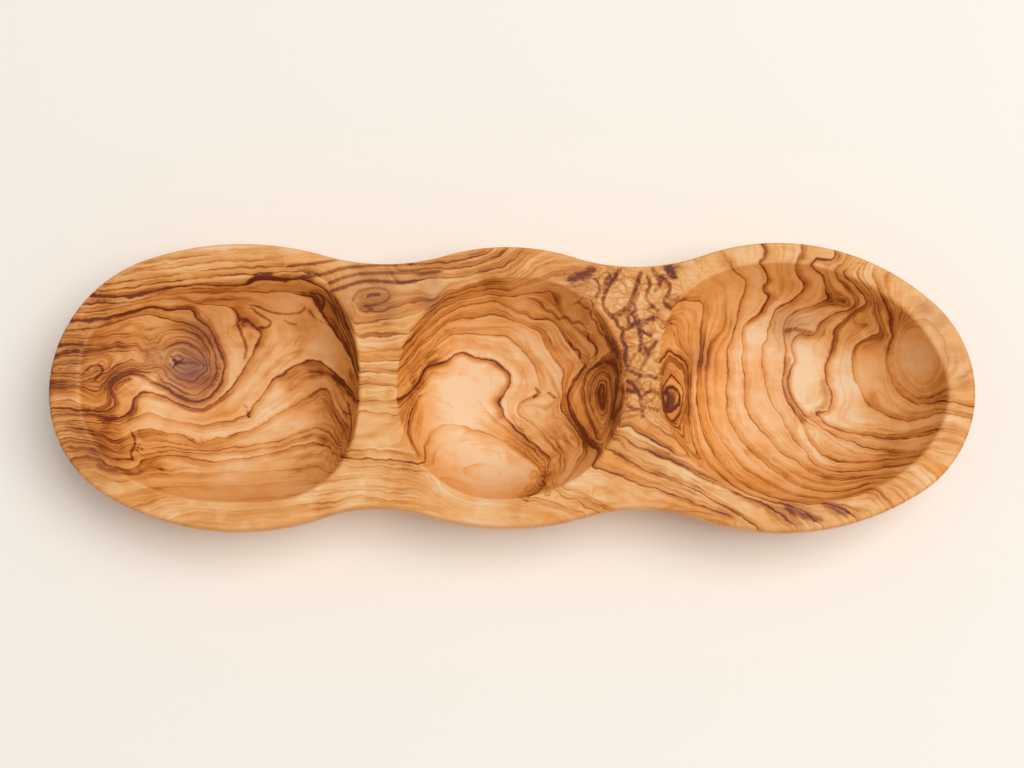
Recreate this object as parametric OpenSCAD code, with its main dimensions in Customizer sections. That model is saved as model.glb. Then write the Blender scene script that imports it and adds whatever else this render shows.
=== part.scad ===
// Olive dish: a long board of olive wood with wavy sides, and three hollows carved into its flat top.
// X runs along the board, Y points to its back and Z is up. The origin lies on the table, under the middle.

/* [Board] */
// Length over the two rounded ends
board_l = 300; // [270:1:340]
// Height of the flat rim above the table
board_h = 32; // [28:1:44]
// How far the outermost points of the two ends lie in front of the middle line
tip_drop = 1.1; // [0:0.1:4]
// How far the side wall rounds in below, from the outline to the edge of the flat foot
foot_inset = 16; // [8:0.5:20]
// Fullness of the side wall's curve, where 2 is an ellipse and more is squarer
side_fullness = 2.4; // [2:0.1:4]
// Size of the sanded round on the rim's outer edge
rim_round = 1.8; // [0.4:0.1:3]

/* [Left lobe] */
// Distance of the lobe's widest line from the left end
left_lobe_reach = 61.6; // [52:0.2:70]
// Width across the lobe
left_lobe_w = 94.4; // [86:0.2:104]
// Radius of the lobe's back side
left_back_r = 95; // [75:1:130]
// Radius of the lobe's front side
left_front_r = 83; // [75:1:130]

/* [Middle lobe] */
// Place along X of the lobe's widest line
middle_lobe_x = -1.6; // [-8:0.2:8]
// Width across the lobe
middle_lobe_w = 92.4; // [86:0.2:104]
// Radius of the lobe's back side
middle_back_r = 71; // [50:1:90]
// Radius of the lobe's front side
middle_front_r = 89; // [50:1:100]

/* [Right lobe] */
// Distance of the lobe's widest line from the right end
right_lobe_reach = 62.8; // [52:0.2:70]
// Width across the lobe
right_lobe_w = 95.2; // [86:0.2:104]
// Radius of the lobe's back side
right_back_r = 73; // [68:1:110]
// Radius of the lobe's front side
right_front_r = 83; // [68:1:110]

/* [Waists] */
// Radius of the waist at the back, between the left and middle lobes
back_left_waist_r = 70; // [40:1:110]
// Radius of the waist at the back, between the middle and right lobes
back_right_waist_r = 65; // [40:1:110]
// Radius of the waist at the front, between the left and middle lobes
front_left_waist_r = 52; // [40:1:110]
// Radius of the waist at the front, between the middle and right lobes
front_right_waist_r = 60; // [40:1:110]

/* [Hollows] */
// Size of the sanded round on the edges of the hollows
lip_round = 1.3; // [0.4:0.1:3]
// Fullness of the hollows' walls, where 2 is a shallow saucer and more is a flatter floor with steeper walls
wall_fullness = 3.4; // [2:0.1:6]
// Width of the land between the left and middle hollows
left_land_w = 12; // [6:0.2:18]
// Width of the land between the middle and right hollows
right_land_w = 10.8; // [6:0.2:18]

/* [Left hollow] */
// Depth below the rim
left_depth = 22; // [12:0.5:24]
// Rim left standing at the end of the board
left_end_rim = 9.8; // [5:0.2:16]
// Rim left standing at the back
left_back_rim = 11.4; // [5:0.2:16]
// Rim left standing at the front
left_front_rim = 8.8; // [5:0.2:16]
// Distance of the hollow's furthest point at the back from the lobe's widest line, towards the middle
left_back_shift = 13; // [0:0.5:20]
// Distance of the hollow's furthest point at the front from the lobe's widest line, towards the middle
left_front_shift = 2.5; // [-10:0.5:20]
// Place along Y of the hollow's outer tip
left_outer_tip_y = 3.6; // [-10:0.2:10]
// Place along Y of the hollow's inner tip
left_inner_tip_y = -1.8; // [-10:0.2:10]
// Fullness of the outer corners, where 2 is an ellipse and more is squarer
left_outer_fullness = 2.4; // [1.7:0.05:3.2]
// Fullness of the inner corners
left_inner_fullness = 2.55; // [1.7:0.05:3.2]

/* [Middle hollow] */
// Depth below the rim
middle_depth = 21; // [12:0.5:24]
// Place along X of the hollow's middle
middle_hollow_x = -0.4; // [-4:0.2:4]
// Length along the board
middle_hollow_l = 74; // [60:0.5:80]
// Rim left standing at the back
middle_back_rim = 10.2; // [5:0.2:16]
// Rim left standing at the front
middle_front_rim = 8.8; // [5:0.2:16]
// Distance of the furthest point at the back from the hollow's middle, towards the right
middle_back_shift = 2.6; // [-10:0.2:10]
// Distance of the furthest point at the front from the hollow's middle, towards the right
middle_front_shift = -3.8; // [-10:0.2:10]
// Fullness of all four corners
middle_fullness = 2.1; // [1.7:0.05:3.2]

/* [Right hollow] */
// Depth below the rim
right_depth = 22; // [12:0.5:24]
// Rim left standing at the end of the board
right_end_rim = 8.6; // [5:0.2:16]
// Rim left standing at the back
right_back_rim = 6.8; // [5:0.2:16]
// Rim left standing at the front
right_front_rim = 9.4; // [5:0.2:16]
// Distance of the hollow's furthest point at the back from the lobe's widest line, towards the end
right_back_shift = 1.4; // [-10:0.2:20]
// Distance of the hollow's furthest point at the front from the lobe's widest line, towards the end
right_front_shift = 10; // [-10:0.2:20]
// Place along Y of the hollow's inner tip
right_inner_tip_y = 4.6; // [-10:0.2:10]
// Place along Y of the hollow's outer tip
right_outer_tip_y = -2.2; // [-10:0.2:10]
// Fullness of the inner corners, where 2 is an ellipse and more is squarer
right_inner_fullness = 2.35; // [1.7:0.05:3.2]
// Fullness of the outer corners
right_outer_fullness = 1.85; // [1.7:0.05:3.2]

/* [Hidden] */
wood_colour = "#b07a45";

// Places along X of the outer lobes' widest lines
left_lobe_x = left_lobe_reach - board_l / 2;
right_lobe_x = board_l / 2 - right_lobe_reach;

// Steps that each curve is drawn with
arc_steps = 9;
corner_steps = 13;
side_steps = 9;
wall_steps = 9;
round_steps = 4;

// Share of a hollow's outline inside which its floor is flat
floor_share = 0.12;
// Height above the rim at which the lip's round starts, as a share of its size, and at which a cutter ends
lip_start = 0.15;
cutter_rise = 2;

// Unit vector from point a to point b, and its heading in degrees
function towards(a, b) = (b - a) / norm(b - a);
function heading(a, b) = atan2(b[1] - a[1], b[0] - a[0]);

// Upper of the two points that lie r1 from c1 and r2 from c2
function upper_crossing(c1, r1, c2, r2) =
    let (
        gap = norm(c2 - c1),
        along = (r1 * r1 - r2 * r2 + gap * gap) / (2 * gap),
        aside = sqrt(r1 * r1 - along * along),
        dir = towards(c1, c2)
    )
    c1 + along * dir + aside * [-dir[1], dir[0]];

// Radius of the end arc that meets a side arc of radius r and closes a quarter of the given reach and rise
function end_radius(r, reach, rise) = (2 * r * rise - rise * rise - reach * reach) / (2 * (r - reach));

// Heading of the point where an end arc meets a side arc from inside, seen from the centre of the larger one
function meeting(side, side_r, end, end_r) = side_r > end_r ? heading(side, end) : heading(end, side);

// Points and outward normals along an arc, without its last point; bulge is -1 where the arc curves inwards
function arc(c, r, from, to, bulge = 1) = [
    for (i = [0 : arc_steps - 1])
        let (
            a = from + (to - from) * i / arc_steps,
            dir = [cos(a), sin(a)]
        )
        [c + r * dir, bulge * dir]
];

// One long side of the board, from its left tip to just short of its right tip, as points with normals.
// Lobes are [place along X, half width, radius], from left to right, and waists are radii.
function long_side(lobes, waists, tip_y) =
    let (
        sides = [for (lobe = lobes) [lobe[0], lobe[1] - lobe[2]]],
        left_r = end_radius(lobes[0][2], lobes[0][0] + board_l / 2, lobes[0][1] - tip_y),
        right_r = end_radius(lobes[2][2], board_l / 2 - lobes[2][0], lobes[2][1] - tip_y),
        left_end = [left_r - board_l / 2, tip_y],
        right_end = [board_l / 2 - right_r, tip_y],
        left_turn = meeting(sides[0], lobes[0][2], left_end, left_r),
        right_turn = meeting(sides[2], lobes[2][2], right_end, right_r),
        dips = [
            for (i = [0, 1])
                upper_crossing(sides[i], lobes[i][2] + waists[i], sides[i + 1], lobes[i + 1][2] + waists[i])
        ]
    )
    concat(
        arc(left_end, left_r, 180, left_turn),
        arc(sides[0], lobes[0][2], left_turn, heading(sides[0], dips[0])),
        arc(dips[0], waists[0], heading(dips[0], sides[0]), heading(dips[0], sides[1]), -1),
        arc(sides[1], lobes[1][2], heading(sides[1], dips[0]), heading(sides[1], dips[1])),
        arc(dips[1], waists[1], heading(dips[1], sides[1]), heading(dips[1], sides[2]), -1),
        arc(sides[2], lobes[2][2], heading(sides[2], dips[1]), right_turn),
        arc(right_end, right_r, right_turn, 0)
    );

// Mirror image of points with normals, front for back
function flipped(side) = [for (p = side) [for (v = p) [v[0], -v[1]]]];
function reversed(list) = [for (i = [len(list) - 1 : -1 : 0]) list[i]];
function without_first(list) = [for (i = [1 : len(list) - 1]) list[i]];

// The board's outline: from the left tip along the back to the right tip, and home along the front
back_side = long_side(
    [
        [left_lobe_x, left_lobe_w / 2, left_back_r],
        [middle_lobe_x, middle_lobe_w / 2, middle_back_r],
        [right_lobe_x, right_lobe_w / 2, right_back_r]
    ],
    [back_left_waist_r, back_right_waist_r],
    -tip_drop
);
front_side = flipped(long_side(
    [
        [left_lobe_x, left_lobe_w / 2, left_front_r],
        [middle_lobe_x, middle_lobe_w / 2, middle_front_r],
        [right_lobe_x, right_lobe_w / 2, right_front_r]
    ],
    [front_left_waist_r, front_right_waist_r],
    tip_drop
));
right_tip = [[board_l / 2, -tip_drop], [1, 0]];
board_outline = concat(back_side, [right_tip], reversed(without_first(front_side)));

// Quarter of a superellipse between two extreme points, without its last point
function corner(tip, crown, fullness, from_tip) = [
    for (i = [0 : corner_steps - 1])
        let (
            a = from_tip ? 90 * i / corner_steps : 90 - 90 * i / corner_steps,
            across = pow(cos(a), 2 / fullness),
            up = pow(sin(a), 2 / fullness)
        )
        [crown[0] + (tip[0] - crown[0]) * across, tip[1] + (crown[1] - tip[1]) * up]
];

// Outline of a hollow through its four extreme points, in the same order as the board's outline
function hollow_outline(left, back, right, front, left_fullness, right_fullness) = concat(
    corner(left, back, left_fullness, true),
    corner(right, back, right_fullness, false),
    corner(right, front, right_fullness, true),
    corner(left, front, left_fullness, false)
);

// Rings of the board from the foot up: the outline drawn in, at a height
side_rows = [
    for (i = [0 : side_steps])
        let (a = 90 * i / side_steps)
        [
            foot_inset * (1 - pow(sin(a), 2 / side_fullness)),
            (board_h - rim_round) * (1 - pow(cos(a), 2 / side_fullness))
        ]
];
rim_rows = [
    for (i = [1 : round_steps])
        let (a = 90 * i / round_steps)
        [rim_round * (1 - cos(a)), board_h - rim_round + rim_round * sin(a)]
];

// Rings of a hollow's cutter from its floor up: a share of the outline, and a height.
// The wall meets the lip's round where it is lip_round deep, and mean_r is the outline's mean radius.
function cutter_rows(depth, mean_r) =
    let (
        lip_share = pow(1 - lip_round / depth, 1 / wall_fullness),
        outer = [1 + lip_round / mean_r, lip_round * lip_start],
        inner = [lip_share, -lip_round]
    )
    concat(
        [
            for (i = [0 : wall_steps - 1])
                let (share = floor_share + (lip_share - floor_share) * sin(90 * i / wall_steps))
                [share, board_h - depth * (1 - pow(share, wall_fullness))]
        ],
        [
            for (i = [0 : round_steps])
                let (
                    t = i / round_steps,
                    p = inner * (1 - t) * (1 - t) + 2 * [1, 0] * t * (1 - t) + outer * t * t
                )
                [p[0], board_h + p[1]]
        ],
        [[outer[0], board_h + cutter_rise]]
    );

// Closed skin over rings of points that run clockwise seen from above, the lowest ring first.
// Point i of a ring lies across from point n - i, so strips between them close the two ends.
module skin(rings) {
    n = len(rings[0]);
    top = (len(rings) - 1) * n;
    strips = [for (i = [0 : n / 2 - 1]) [i, i + 1, (n - i - 1) % n, (n - i) % n]];
    polyhedron(
        points = [for (ring = rings) each ring],
        faces = concat(
            [for (strip = strips) reversed(strip)],
            [
                for (k = [0 : len(rings) - 2], i = [0 : n - 1])
                    let (a = k * n + i, b = k * n + (i + 1) % n)
                    each [[b + n, a + n, a], [b + n, a, b]]
            ],
            [for (strip = strips) [for (i = strip) top + i]]
        )
    );
}

module board() {
    skin([
        for (row = concat(side_rows, rim_rows))
            [for (p = board_outline) [each p[0] - row[0] * p[1], row[1]]]
    ]);
}

module hollow(left, back, right, front, left_fullness, right_fullness, depth) {
    deepest = [(back[0] + front[0]) / 2, (left[1] + right[1]) / 2];
    outline = hollow_outline(left, back, right, front, left_fullness, right_fullness);
    mean_r = (right[0] - left[0] + back[1] - front[1]) / 4;
    skin([
        for (row = cutter_rows(depth, mean_r))
            [for (p = outline) [each deepest + row[0] * (p - deepest), row[1]]]
    ]);
}

module left_hollow() {
    hollow(
        [-board_l / 2 + left_end_rim, left_outer_tip_y],
        [left_lobe_x + left_back_shift, left_lobe_w / 2 - left_back_rim],
        [middle_hollow_x - middle_hollow_l / 2 - left_land_w, left_inner_tip_y],
        [left_lobe_x + left_front_shift, -left_lobe_w / 2 + left_front_rim],
        left_outer_fullness,
        left_inner_fullness,
        left_depth
    );
}

module middle_hollow() {
    hollow(
        [middle_hollow_x - middle_hollow_l / 2, 0],
        [middle_hollow_x + middle_back_shift, middle_lobe_w / 2 - middle_back_rim],
        [middle_hollow_x + middle_hollow_l / 2, 0],
        [middle_hollow_x + middle_front_shift, -middle_lobe_w / 2 + middle_front_rim],
        middle_fullness,
        middle_fullness,
        middle_depth
    );
}

module right_hollow() {
    hollow(
        [middle_hollow_x + middle_hollow_l / 2 + right_land_w, right_inner_tip_y],
        [right_lobe_x + right_back_shift, right_lobe_w / 2 - right_back_rim],
        [board_l / 2 - right_end_rim, right_outer_tip_y],
        [right_lobe_x + right_front_shift, -right_lobe_w / 2 + right_front_rim],
        right_inner_fullness,
        right_outer_fullness,
        right_depth
    );
}

// The whole dish, carved from one board
module dish_body() {
    color(wood_colour)
        difference() {
            board();
            left_hollow();
            middle_hollow();
            right_hollow();
        }
}

dish_body();
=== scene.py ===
import math

import bmesh
import bpy
import numpy as np
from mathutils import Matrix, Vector
from mathutils.kdtree import KDTree


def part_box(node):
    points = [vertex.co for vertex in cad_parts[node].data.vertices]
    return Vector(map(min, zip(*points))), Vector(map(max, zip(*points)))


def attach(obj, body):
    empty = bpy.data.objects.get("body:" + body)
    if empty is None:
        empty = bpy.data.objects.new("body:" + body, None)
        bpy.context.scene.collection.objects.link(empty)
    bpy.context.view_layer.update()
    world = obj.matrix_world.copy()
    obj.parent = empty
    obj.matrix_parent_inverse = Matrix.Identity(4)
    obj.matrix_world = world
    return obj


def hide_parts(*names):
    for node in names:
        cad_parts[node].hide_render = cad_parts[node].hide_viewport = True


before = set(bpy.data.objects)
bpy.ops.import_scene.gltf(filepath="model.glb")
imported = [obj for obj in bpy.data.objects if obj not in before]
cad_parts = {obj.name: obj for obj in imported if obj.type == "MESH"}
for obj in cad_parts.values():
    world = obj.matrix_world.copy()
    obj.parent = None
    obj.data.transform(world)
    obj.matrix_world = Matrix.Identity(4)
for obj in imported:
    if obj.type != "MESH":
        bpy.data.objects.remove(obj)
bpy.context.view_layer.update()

# The camera: it looks down on the dish from in front, ten degrees off the vertical.
# Its place and lens were found from the outline and the lips of the hollows in the photograph.
mm = 0.001
photo_size_px = (1024, 768)
lens_angle = math.radians(30)
view_tilt = math.radians(10)
camera_place = Vector((0, -107.0, 640.1)) * mm

camera_data = bpy.data.cameras.new("photo_camera")
camera_data.angle = lens_angle
camera = bpy.data.objects.new("photo_camera", camera_data)
camera.location = camera_place
camera.rotation_euler = (view_tilt, 0, 0)
bpy.context.scene.collection.objects.link(camera)
bpy.context.scene.camera = camera

# The dish: one board of olive wood, sawn to a wavy outline, with three hollows carved into its flat top.
# It is solid wood all through, sanded to soft edges and oiled, and it stands on its own flat underside.
# The mesh is grown ring by ring: from each hollow's floor to its lip, over the rim, and down the side wall.
dish_low, dish_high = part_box("dish_body")
board_l = (dish_high.x - dish_low.x) / mm
board_h = (dish_high.z - dish_low.z) / mm
tip_drop = 1.1
foot_inset = 16
side_fullness = 2.4
rim_round = 1.8
lip_round = 0.9
wall_fullness = 3.4
sanded_off = 0.05

left_lobe_x, left_lobe_w = -88.4, 94.4
middle_lobe_x, middle_lobe_w = -1.6, 92.4
right_lobe_x, right_lobe_w = 87.2, 95.2
back_radii, back_waist_radii = (95, 71, 73), (70, 65)
front_radii, front_waist_radii = (83, 89, 83), (52, 60)

# Samples along the arcs of one long side: end, lobe, waist, lobe, waist, lobe, end
arc_steps = (56, 38, 50, 40, 38, 32, 56)


def heading(a, b):
    """Direction from one point to another on the plan."""
    return math.atan2(b[1] - a[1], b[0] - a[0])


def upper_crossing(c1, r1, c2, r2):
    """Upper of the two points that lie r1 from c1 and r2 from c2."""
    gap = math.dist(c1, c2)
    along = (r1 * r1 - r2 * r2 + gap * gap) / (2 * gap)
    aside = math.sqrt(r1 * r1 - along * along)
    run = ((c2[0] - c1[0]) / gap, (c2[1] - c1[1]) / gap)
    return (c1[0] + along * run[0] - aside * run[1], c1[1] + along * run[1] + aside * run[0])


def end_radius(r, reach, rise):
    """Radius of the end arc that meets a side arc of radius r and closes a quarter of that reach and rise."""
    return (2 * r * rise - rise * rise - reach * reach) / (2 * (r - reach))


def long_side(lobes, waists, tip_y):
    """Points and outward normals of one long side, from the left tip to just short of the right tip."""
    sides = [(x, half_w - r) for x, half_w, r in lobes]
    radii = [r for x, half_w, r in lobes]
    left_r = end_radius(radii[0], lobes[0][0] + board_l / 2, lobes[0][1] - tip_y)
    right_r = end_radius(radii[2], board_l / 2 - lobes[2][0], lobes[2][1] - tip_y)
    left_end = (left_r - board_l / 2, tip_y)
    right_end = (board_l / 2 - right_r, tip_y)
    left_turn = heading(sides[0], left_end)
    right_turn = heading(sides[2], right_end)
    dips = [
        upper_crossing(sides[i], radii[i] + waists[i], sides[i + 1], radii[i + 1] + waists[i]) for i in (0, 1)
    ]
    arcs = (
        (left_end, left_r, math.pi, left_turn, 1),
        (sides[0], radii[0], left_turn, heading(sides[0], dips[0]), 1),
        (dips[0], waists[0], heading(dips[0], sides[0]), heading(dips[0], sides[1]), -1),
        (sides[1], radii[1], heading(sides[1], dips[0]), heading(sides[1], dips[1]), 1),
        (dips[1], waists[1], heading(dips[1], sides[1]), heading(dips[1], sides[2]), -1),
        (sides[2], radii[2], heading(sides[2], dips[1]), right_turn, 1),
        (right_end, right_r, right_turn, 0, 1),
    )
    points, normals = [], []
    for (centre, radius, start, end, bulge), steps in zip(arcs, arc_steps):
        angles = np.linspace(start, end, steps, endpoint=False)
        facing = np.stack([np.cos(angles), np.sin(angles)], 1)
        points.append(np.array(centre) + radius * facing)
        normals.append(bulge * facing)
    return np.concatenate(points), np.concatenate(normals)


lobe_places = (
    (left_lobe_x, left_lobe_w / 2),
    (middle_lobe_x, middle_lobe_w / 2),
    (right_lobe_x, right_lobe_w / 2),
)
back_points, back_normals = long_side(
    [(*place, r) for place, r in zip(lobe_places, back_radii)], back_waist_radii, -tip_drop
)
front_points, front_normals = long_side(
    [(*place, r) for place, r in zip(lobe_places, front_radii)], front_waist_radii, tip_drop
)
mirrored = np.array([1, -1])
outline = np.concatenate([back_points, [[board_l / 2, -tip_drop]], front_points[:0:-1] * mirrored])
outline_normals = np.concatenate([back_normals, [[1, 0]], front_normals[:0:-1] * mirrored])
outline -= sanded_off * outline_normals
rim_edge = outline - rim_round * outline_normals
side_count = len(back_points)

# Each hollow: its extreme points at the left, back, right and front, how full its left and right corners
# are, and its depth
hollows = {
    "left": ((-140.2, 3.6), (-75.4, 35.8), (-49.4, -1.8), (-85.9, -38.4), 2.4, 2.55, 22),
    "middle": ((-37.4, 0), (2.2, 36), (36.6, 0), (-4.2, -37.4), 2.1, 2.1, 21),
    "right": ((47.4, 4.6), (88.6, 40.8), (141.4, -2.2), (97.2, -38.2), 2.35, 1.85, 22),
}
corner_steps = 400
profile_steps = 2000
wall_rows = 46
lip_rows = 6
rim_rows = 20
cut_spacing = 0.75
floor_share = 0.04


def hollow_outline(left, back, right, front, left_fullness, right_fullness):
    """Points round a hollow, a quarter of a superellipse between each two extreme points."""
    quarter = np.linspace(0, math.pi / 2, corner_steps, endpoint=False)
    corners = []
    for tip, crown, fullness, from_tip in (
        (left, back, left_fullness, True),
        (right, back, right_fullness, False),
        (right, front, right_fullness, True),
        (left, front, left_fullness, False),
    ):
        turn = quarter if from_tip else math.pi / 2 - quarter
        across = np.abs(np.cos(turn)) ** (2 / fullness)
        up = np.abs(np.sin(turn)) ** (2 / fullness)
        corners.append(
            np.stack([crown[0] + (tip[0] - crown[0]) * across, tip[1] + (crown[1] - tip[1]) * up], 1)
        )
    return np.concatenate(corners)


def at_height(points, height):
    """Points on the plan, in millimetres, as places in metres at a height."""
    return np.column_stack([points, np.full(len(points), height)]) * mm


def extrude_to(dish, ring):
    """Extrudes the selected loop and puts each new vertex on its place in the ring."""
    bpy.ops.mesh.extrude_region()
    mesh = bmesh.from_edit_mesh(dish.data)
    place = mesh.verts.layers.int["place"]
    for vertex in mesh.verts:
        if vertex.select:
            vertex.co = ring[vertex[place]]


def select_open_edges(mesh):
    """Selects the edges that have a face on one side only."""
    bpy.ops.mesh.select_all(action="DESELECT")
    for edge in mesh.edges:
        edge.select_set(edge.is_boundary)


def nearest_on(indices, x):
    """Which of these outline points lies nearest to a place along X."""
    return indices[np.argmin(np.abs(outline[indices, 0] - x))]


def cut_across(start, end):
    """Points across a land, from one point of the rim's edge to another, without these two."""
    steps = round(np.linalg.norm(rim_edge[end] - rim_edge[start]) / cut_spacing)
    share = np.linspace(0, 1, steps + 1)[1:-1, None]
    return rim_edge[start] + share * (rim_edge[end] - rim_edge[start])


# The rim is split at the middle of each land, so that each hollow has its own loops out to the board's edge
back_run = np.arange(side_count)
front_run = np.arange(side_count + 1, len(outline))
left_land_x = (hollows["left"][2][0] + hollows["middle"][0][0]) / 2
right_land_x = (hollows["middle"][2][0] + hollows["right"][0][0]) / 2
left_cut_back, right_cut_back = nearest_on(back_run, left_land_x), nearest_on(back_run, right_land_x)
left_cut_front, right_cut_front = nearest_on(front_run, left_land_x), nearest_on(front_run, right_land_x)
left_cut = cut_across(left_cut_back, left_cut_front)
right_cut = cut_across(right_cut_back, right_cut_front)
cells = {
    "left": ([*range(left_cut_front, len(outline)), *range(left_cut_back + 1)], left_cut, [], []),
    "middle": (
        [*range(left_cut_back, right_cut_back + 1)],
        right_cut,
        [*range(right_cut_front, left_cut_front + 1)],
        left_cut[::-1],
    ),
    "right": ([*range(right_cut_back, right_cut_front + 1)], right_cut[::-1], [], []),
}

bpy.ops.object.select_all(action="DESELECT")
grown = []
for name, (left, back, right, front, left_fullness, right_fullness, depth) in hollows.items():
    first_run, first_cut, second_run, second_cut = cells[name]
    places = [*first_run, *[-1] * len(first_cut), *second_run, *[-1] * len(second_cut)]
    border = np.concatenate(
        [rim_edge[first_run], first_cut, rim_edge[second_run].reshape(-1, 2), np.reshape(second_cut, (-1, 2))]
    )
    deepest = np.array([(back[0] + front[0]) / 2, (left[1] + right[1]) / 2])
    mean_r = (right[0] - left[0] + back[1] - front[1]) / 4

    # The lip lies where the line from the deepest point to each border point meets the hollow's outline
    spokes = hollow_outline(left, back, right, front, left_fullness, right_fullness) - deepest
    spoke_angles = np.arctan2(spokes[:, 1], spokes[:, 0])
    order = np.argsort(spoke_angles)
    angles = np.arctan2(border[:, 1] - deepest[1], border[:, 0] - deepest[0])
    reach = np.interp(angles, spoke_angles[order], np.linalg.norm(spokes[order], axis=1), period=2 * math.pi)
    lip = np.stack([np.cos(angles), np.sin(angles)], 1) * reach[:, None]

    # Rows up the wall at even steps along its profile, then over the lip's round
    lip_share = (1 - lip_round / depth) ** (1 / wall_fullness)
    fine = np.linspace(floor_share, lip_share, profile_steps)
    profile = np.stack([fine * mean_r, depth * fine**wall_fullness], 1)
    travel = np.concatenate([[0], np.cumsum(np.linalg.norm(np.diff(profile, axis=0), axis=1))])
    wall_shares = np.interp(np.linspace(0, travel[-1], wall_rows), travel, fine)
    rows = [(share, board_h - depth * (1 - share**wall_fullness)) for share in wall_shares]
    for step in range(1, lip_rows + 1):
        t = step / lip_rows
        share = lip_share * (1 - t) ** 2 + 2 * t * (1 - t) + (1 + lip_round / mean_r) * t * t
        rows.append((share, board_h - lip_round * (1 - t) ** 2))

    bpy.ops.mesh.primitive_circle_add(vertices=len(border), fill_type="TRIFAN")
    cell = bpy.context.object
    bpy.ops.object.mode_set(mode="EDIT")
    mesh = bmesh.from_edit_mesh(cell.data)
    place = mesh.verts.layers.int.new("place")
    floor_ring = at_height(deepest + rows[0][0] * lip, rows[0][1])
    count = 0
    for vertex in mesh.verts:
        if vertex.is_boundary:
            vertex[place] = count
            vertex.co = floor_ring[count]
            count += 1
        else:
            vertex.co = Vector((*deepest, board_h - depth)) * mm
    select_open_edges(mesh)
    for share, height in rows[1:]:
        extrude_to(cell, at_height(deepest + share * lip, height))
    lip_edge = deepest + rows[-1][0] * lip
    for step in range(1, rim_rows + 1):
        extrude_to(cell, at_height(lip_edge + (border - lip_edge) * step / rim_rows, board_h))
    mesh = bmesh.from_edit_mesh(cell.data)
    place = mesh.verts.layers.int["place"]
    for vertex in mesh.verts:
        vertex[place] = places[vertex[place]] if vertex.select else -1
    bpy.ops.object.mode_set(mode="OBJECT")
    grown.append(cell)

bpy.ops.object.select_all(action="DESELECT")
for cell in grown:
    cell.select_set(True)
bpy.context.view_layer.objects.active = grown[0]
bpy.ops.object.join()
dish = bpy.context.object
dish.name = dish.data.name = "carved_dish"

# Rows of the side wall from the rim down: how far the outline is drawn in, and the height
edge_rows = 5
side_rows = 20
wall = []
for step in range(1, edge_rows + 1):
    turn = math.pi / 2 * (1 - step / edge_rows)
    wall.append((rim_round * (1 - math.cos(turn)), board_h - rim_round + rim_round * math.sin(turn)))
for step in range(1, side_rows + 1):
    turn = math.pi / 2 * (1 - step / side_rows)
    drawn_in = foot_inset * (1 - math.sin(turn) ** (2 / side_fullness))
    wall.append((drawn_in, (board_h - rim_round) * (1 - math.cos(turn) ** (2 / side_fullness))))
foot_span = 24
merge_gap = 0.001

bpy.ops.object.mode_set(mode="EDIT")
bpy.ops.mesh.select_all(action="SELECT")
bpy.ops.mesh.remove_doubles(threshold=merge_gap * mm)
select_open_edges(bmesh.from_edit_mesh(dish.data))
for drawn_in, height in wall:
    extrude_to(dish, at_height(outline - drawn_in * outline_normals, height))
bpy.ops.mesh.fill_grid(span=foot_span)
bpy.ops.mesh.select_all(action="SELECT")
bpy.ops.mesh.normals_make_consistent(inside=False)
bpy.ops.object.mode_set(mode="OBJECT")
dish.data.attributes.remove(dish.data.attributes["place"])
bpy.ops.object.shade_smooth()
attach(dish, "root")
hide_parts("dish_body")

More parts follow.
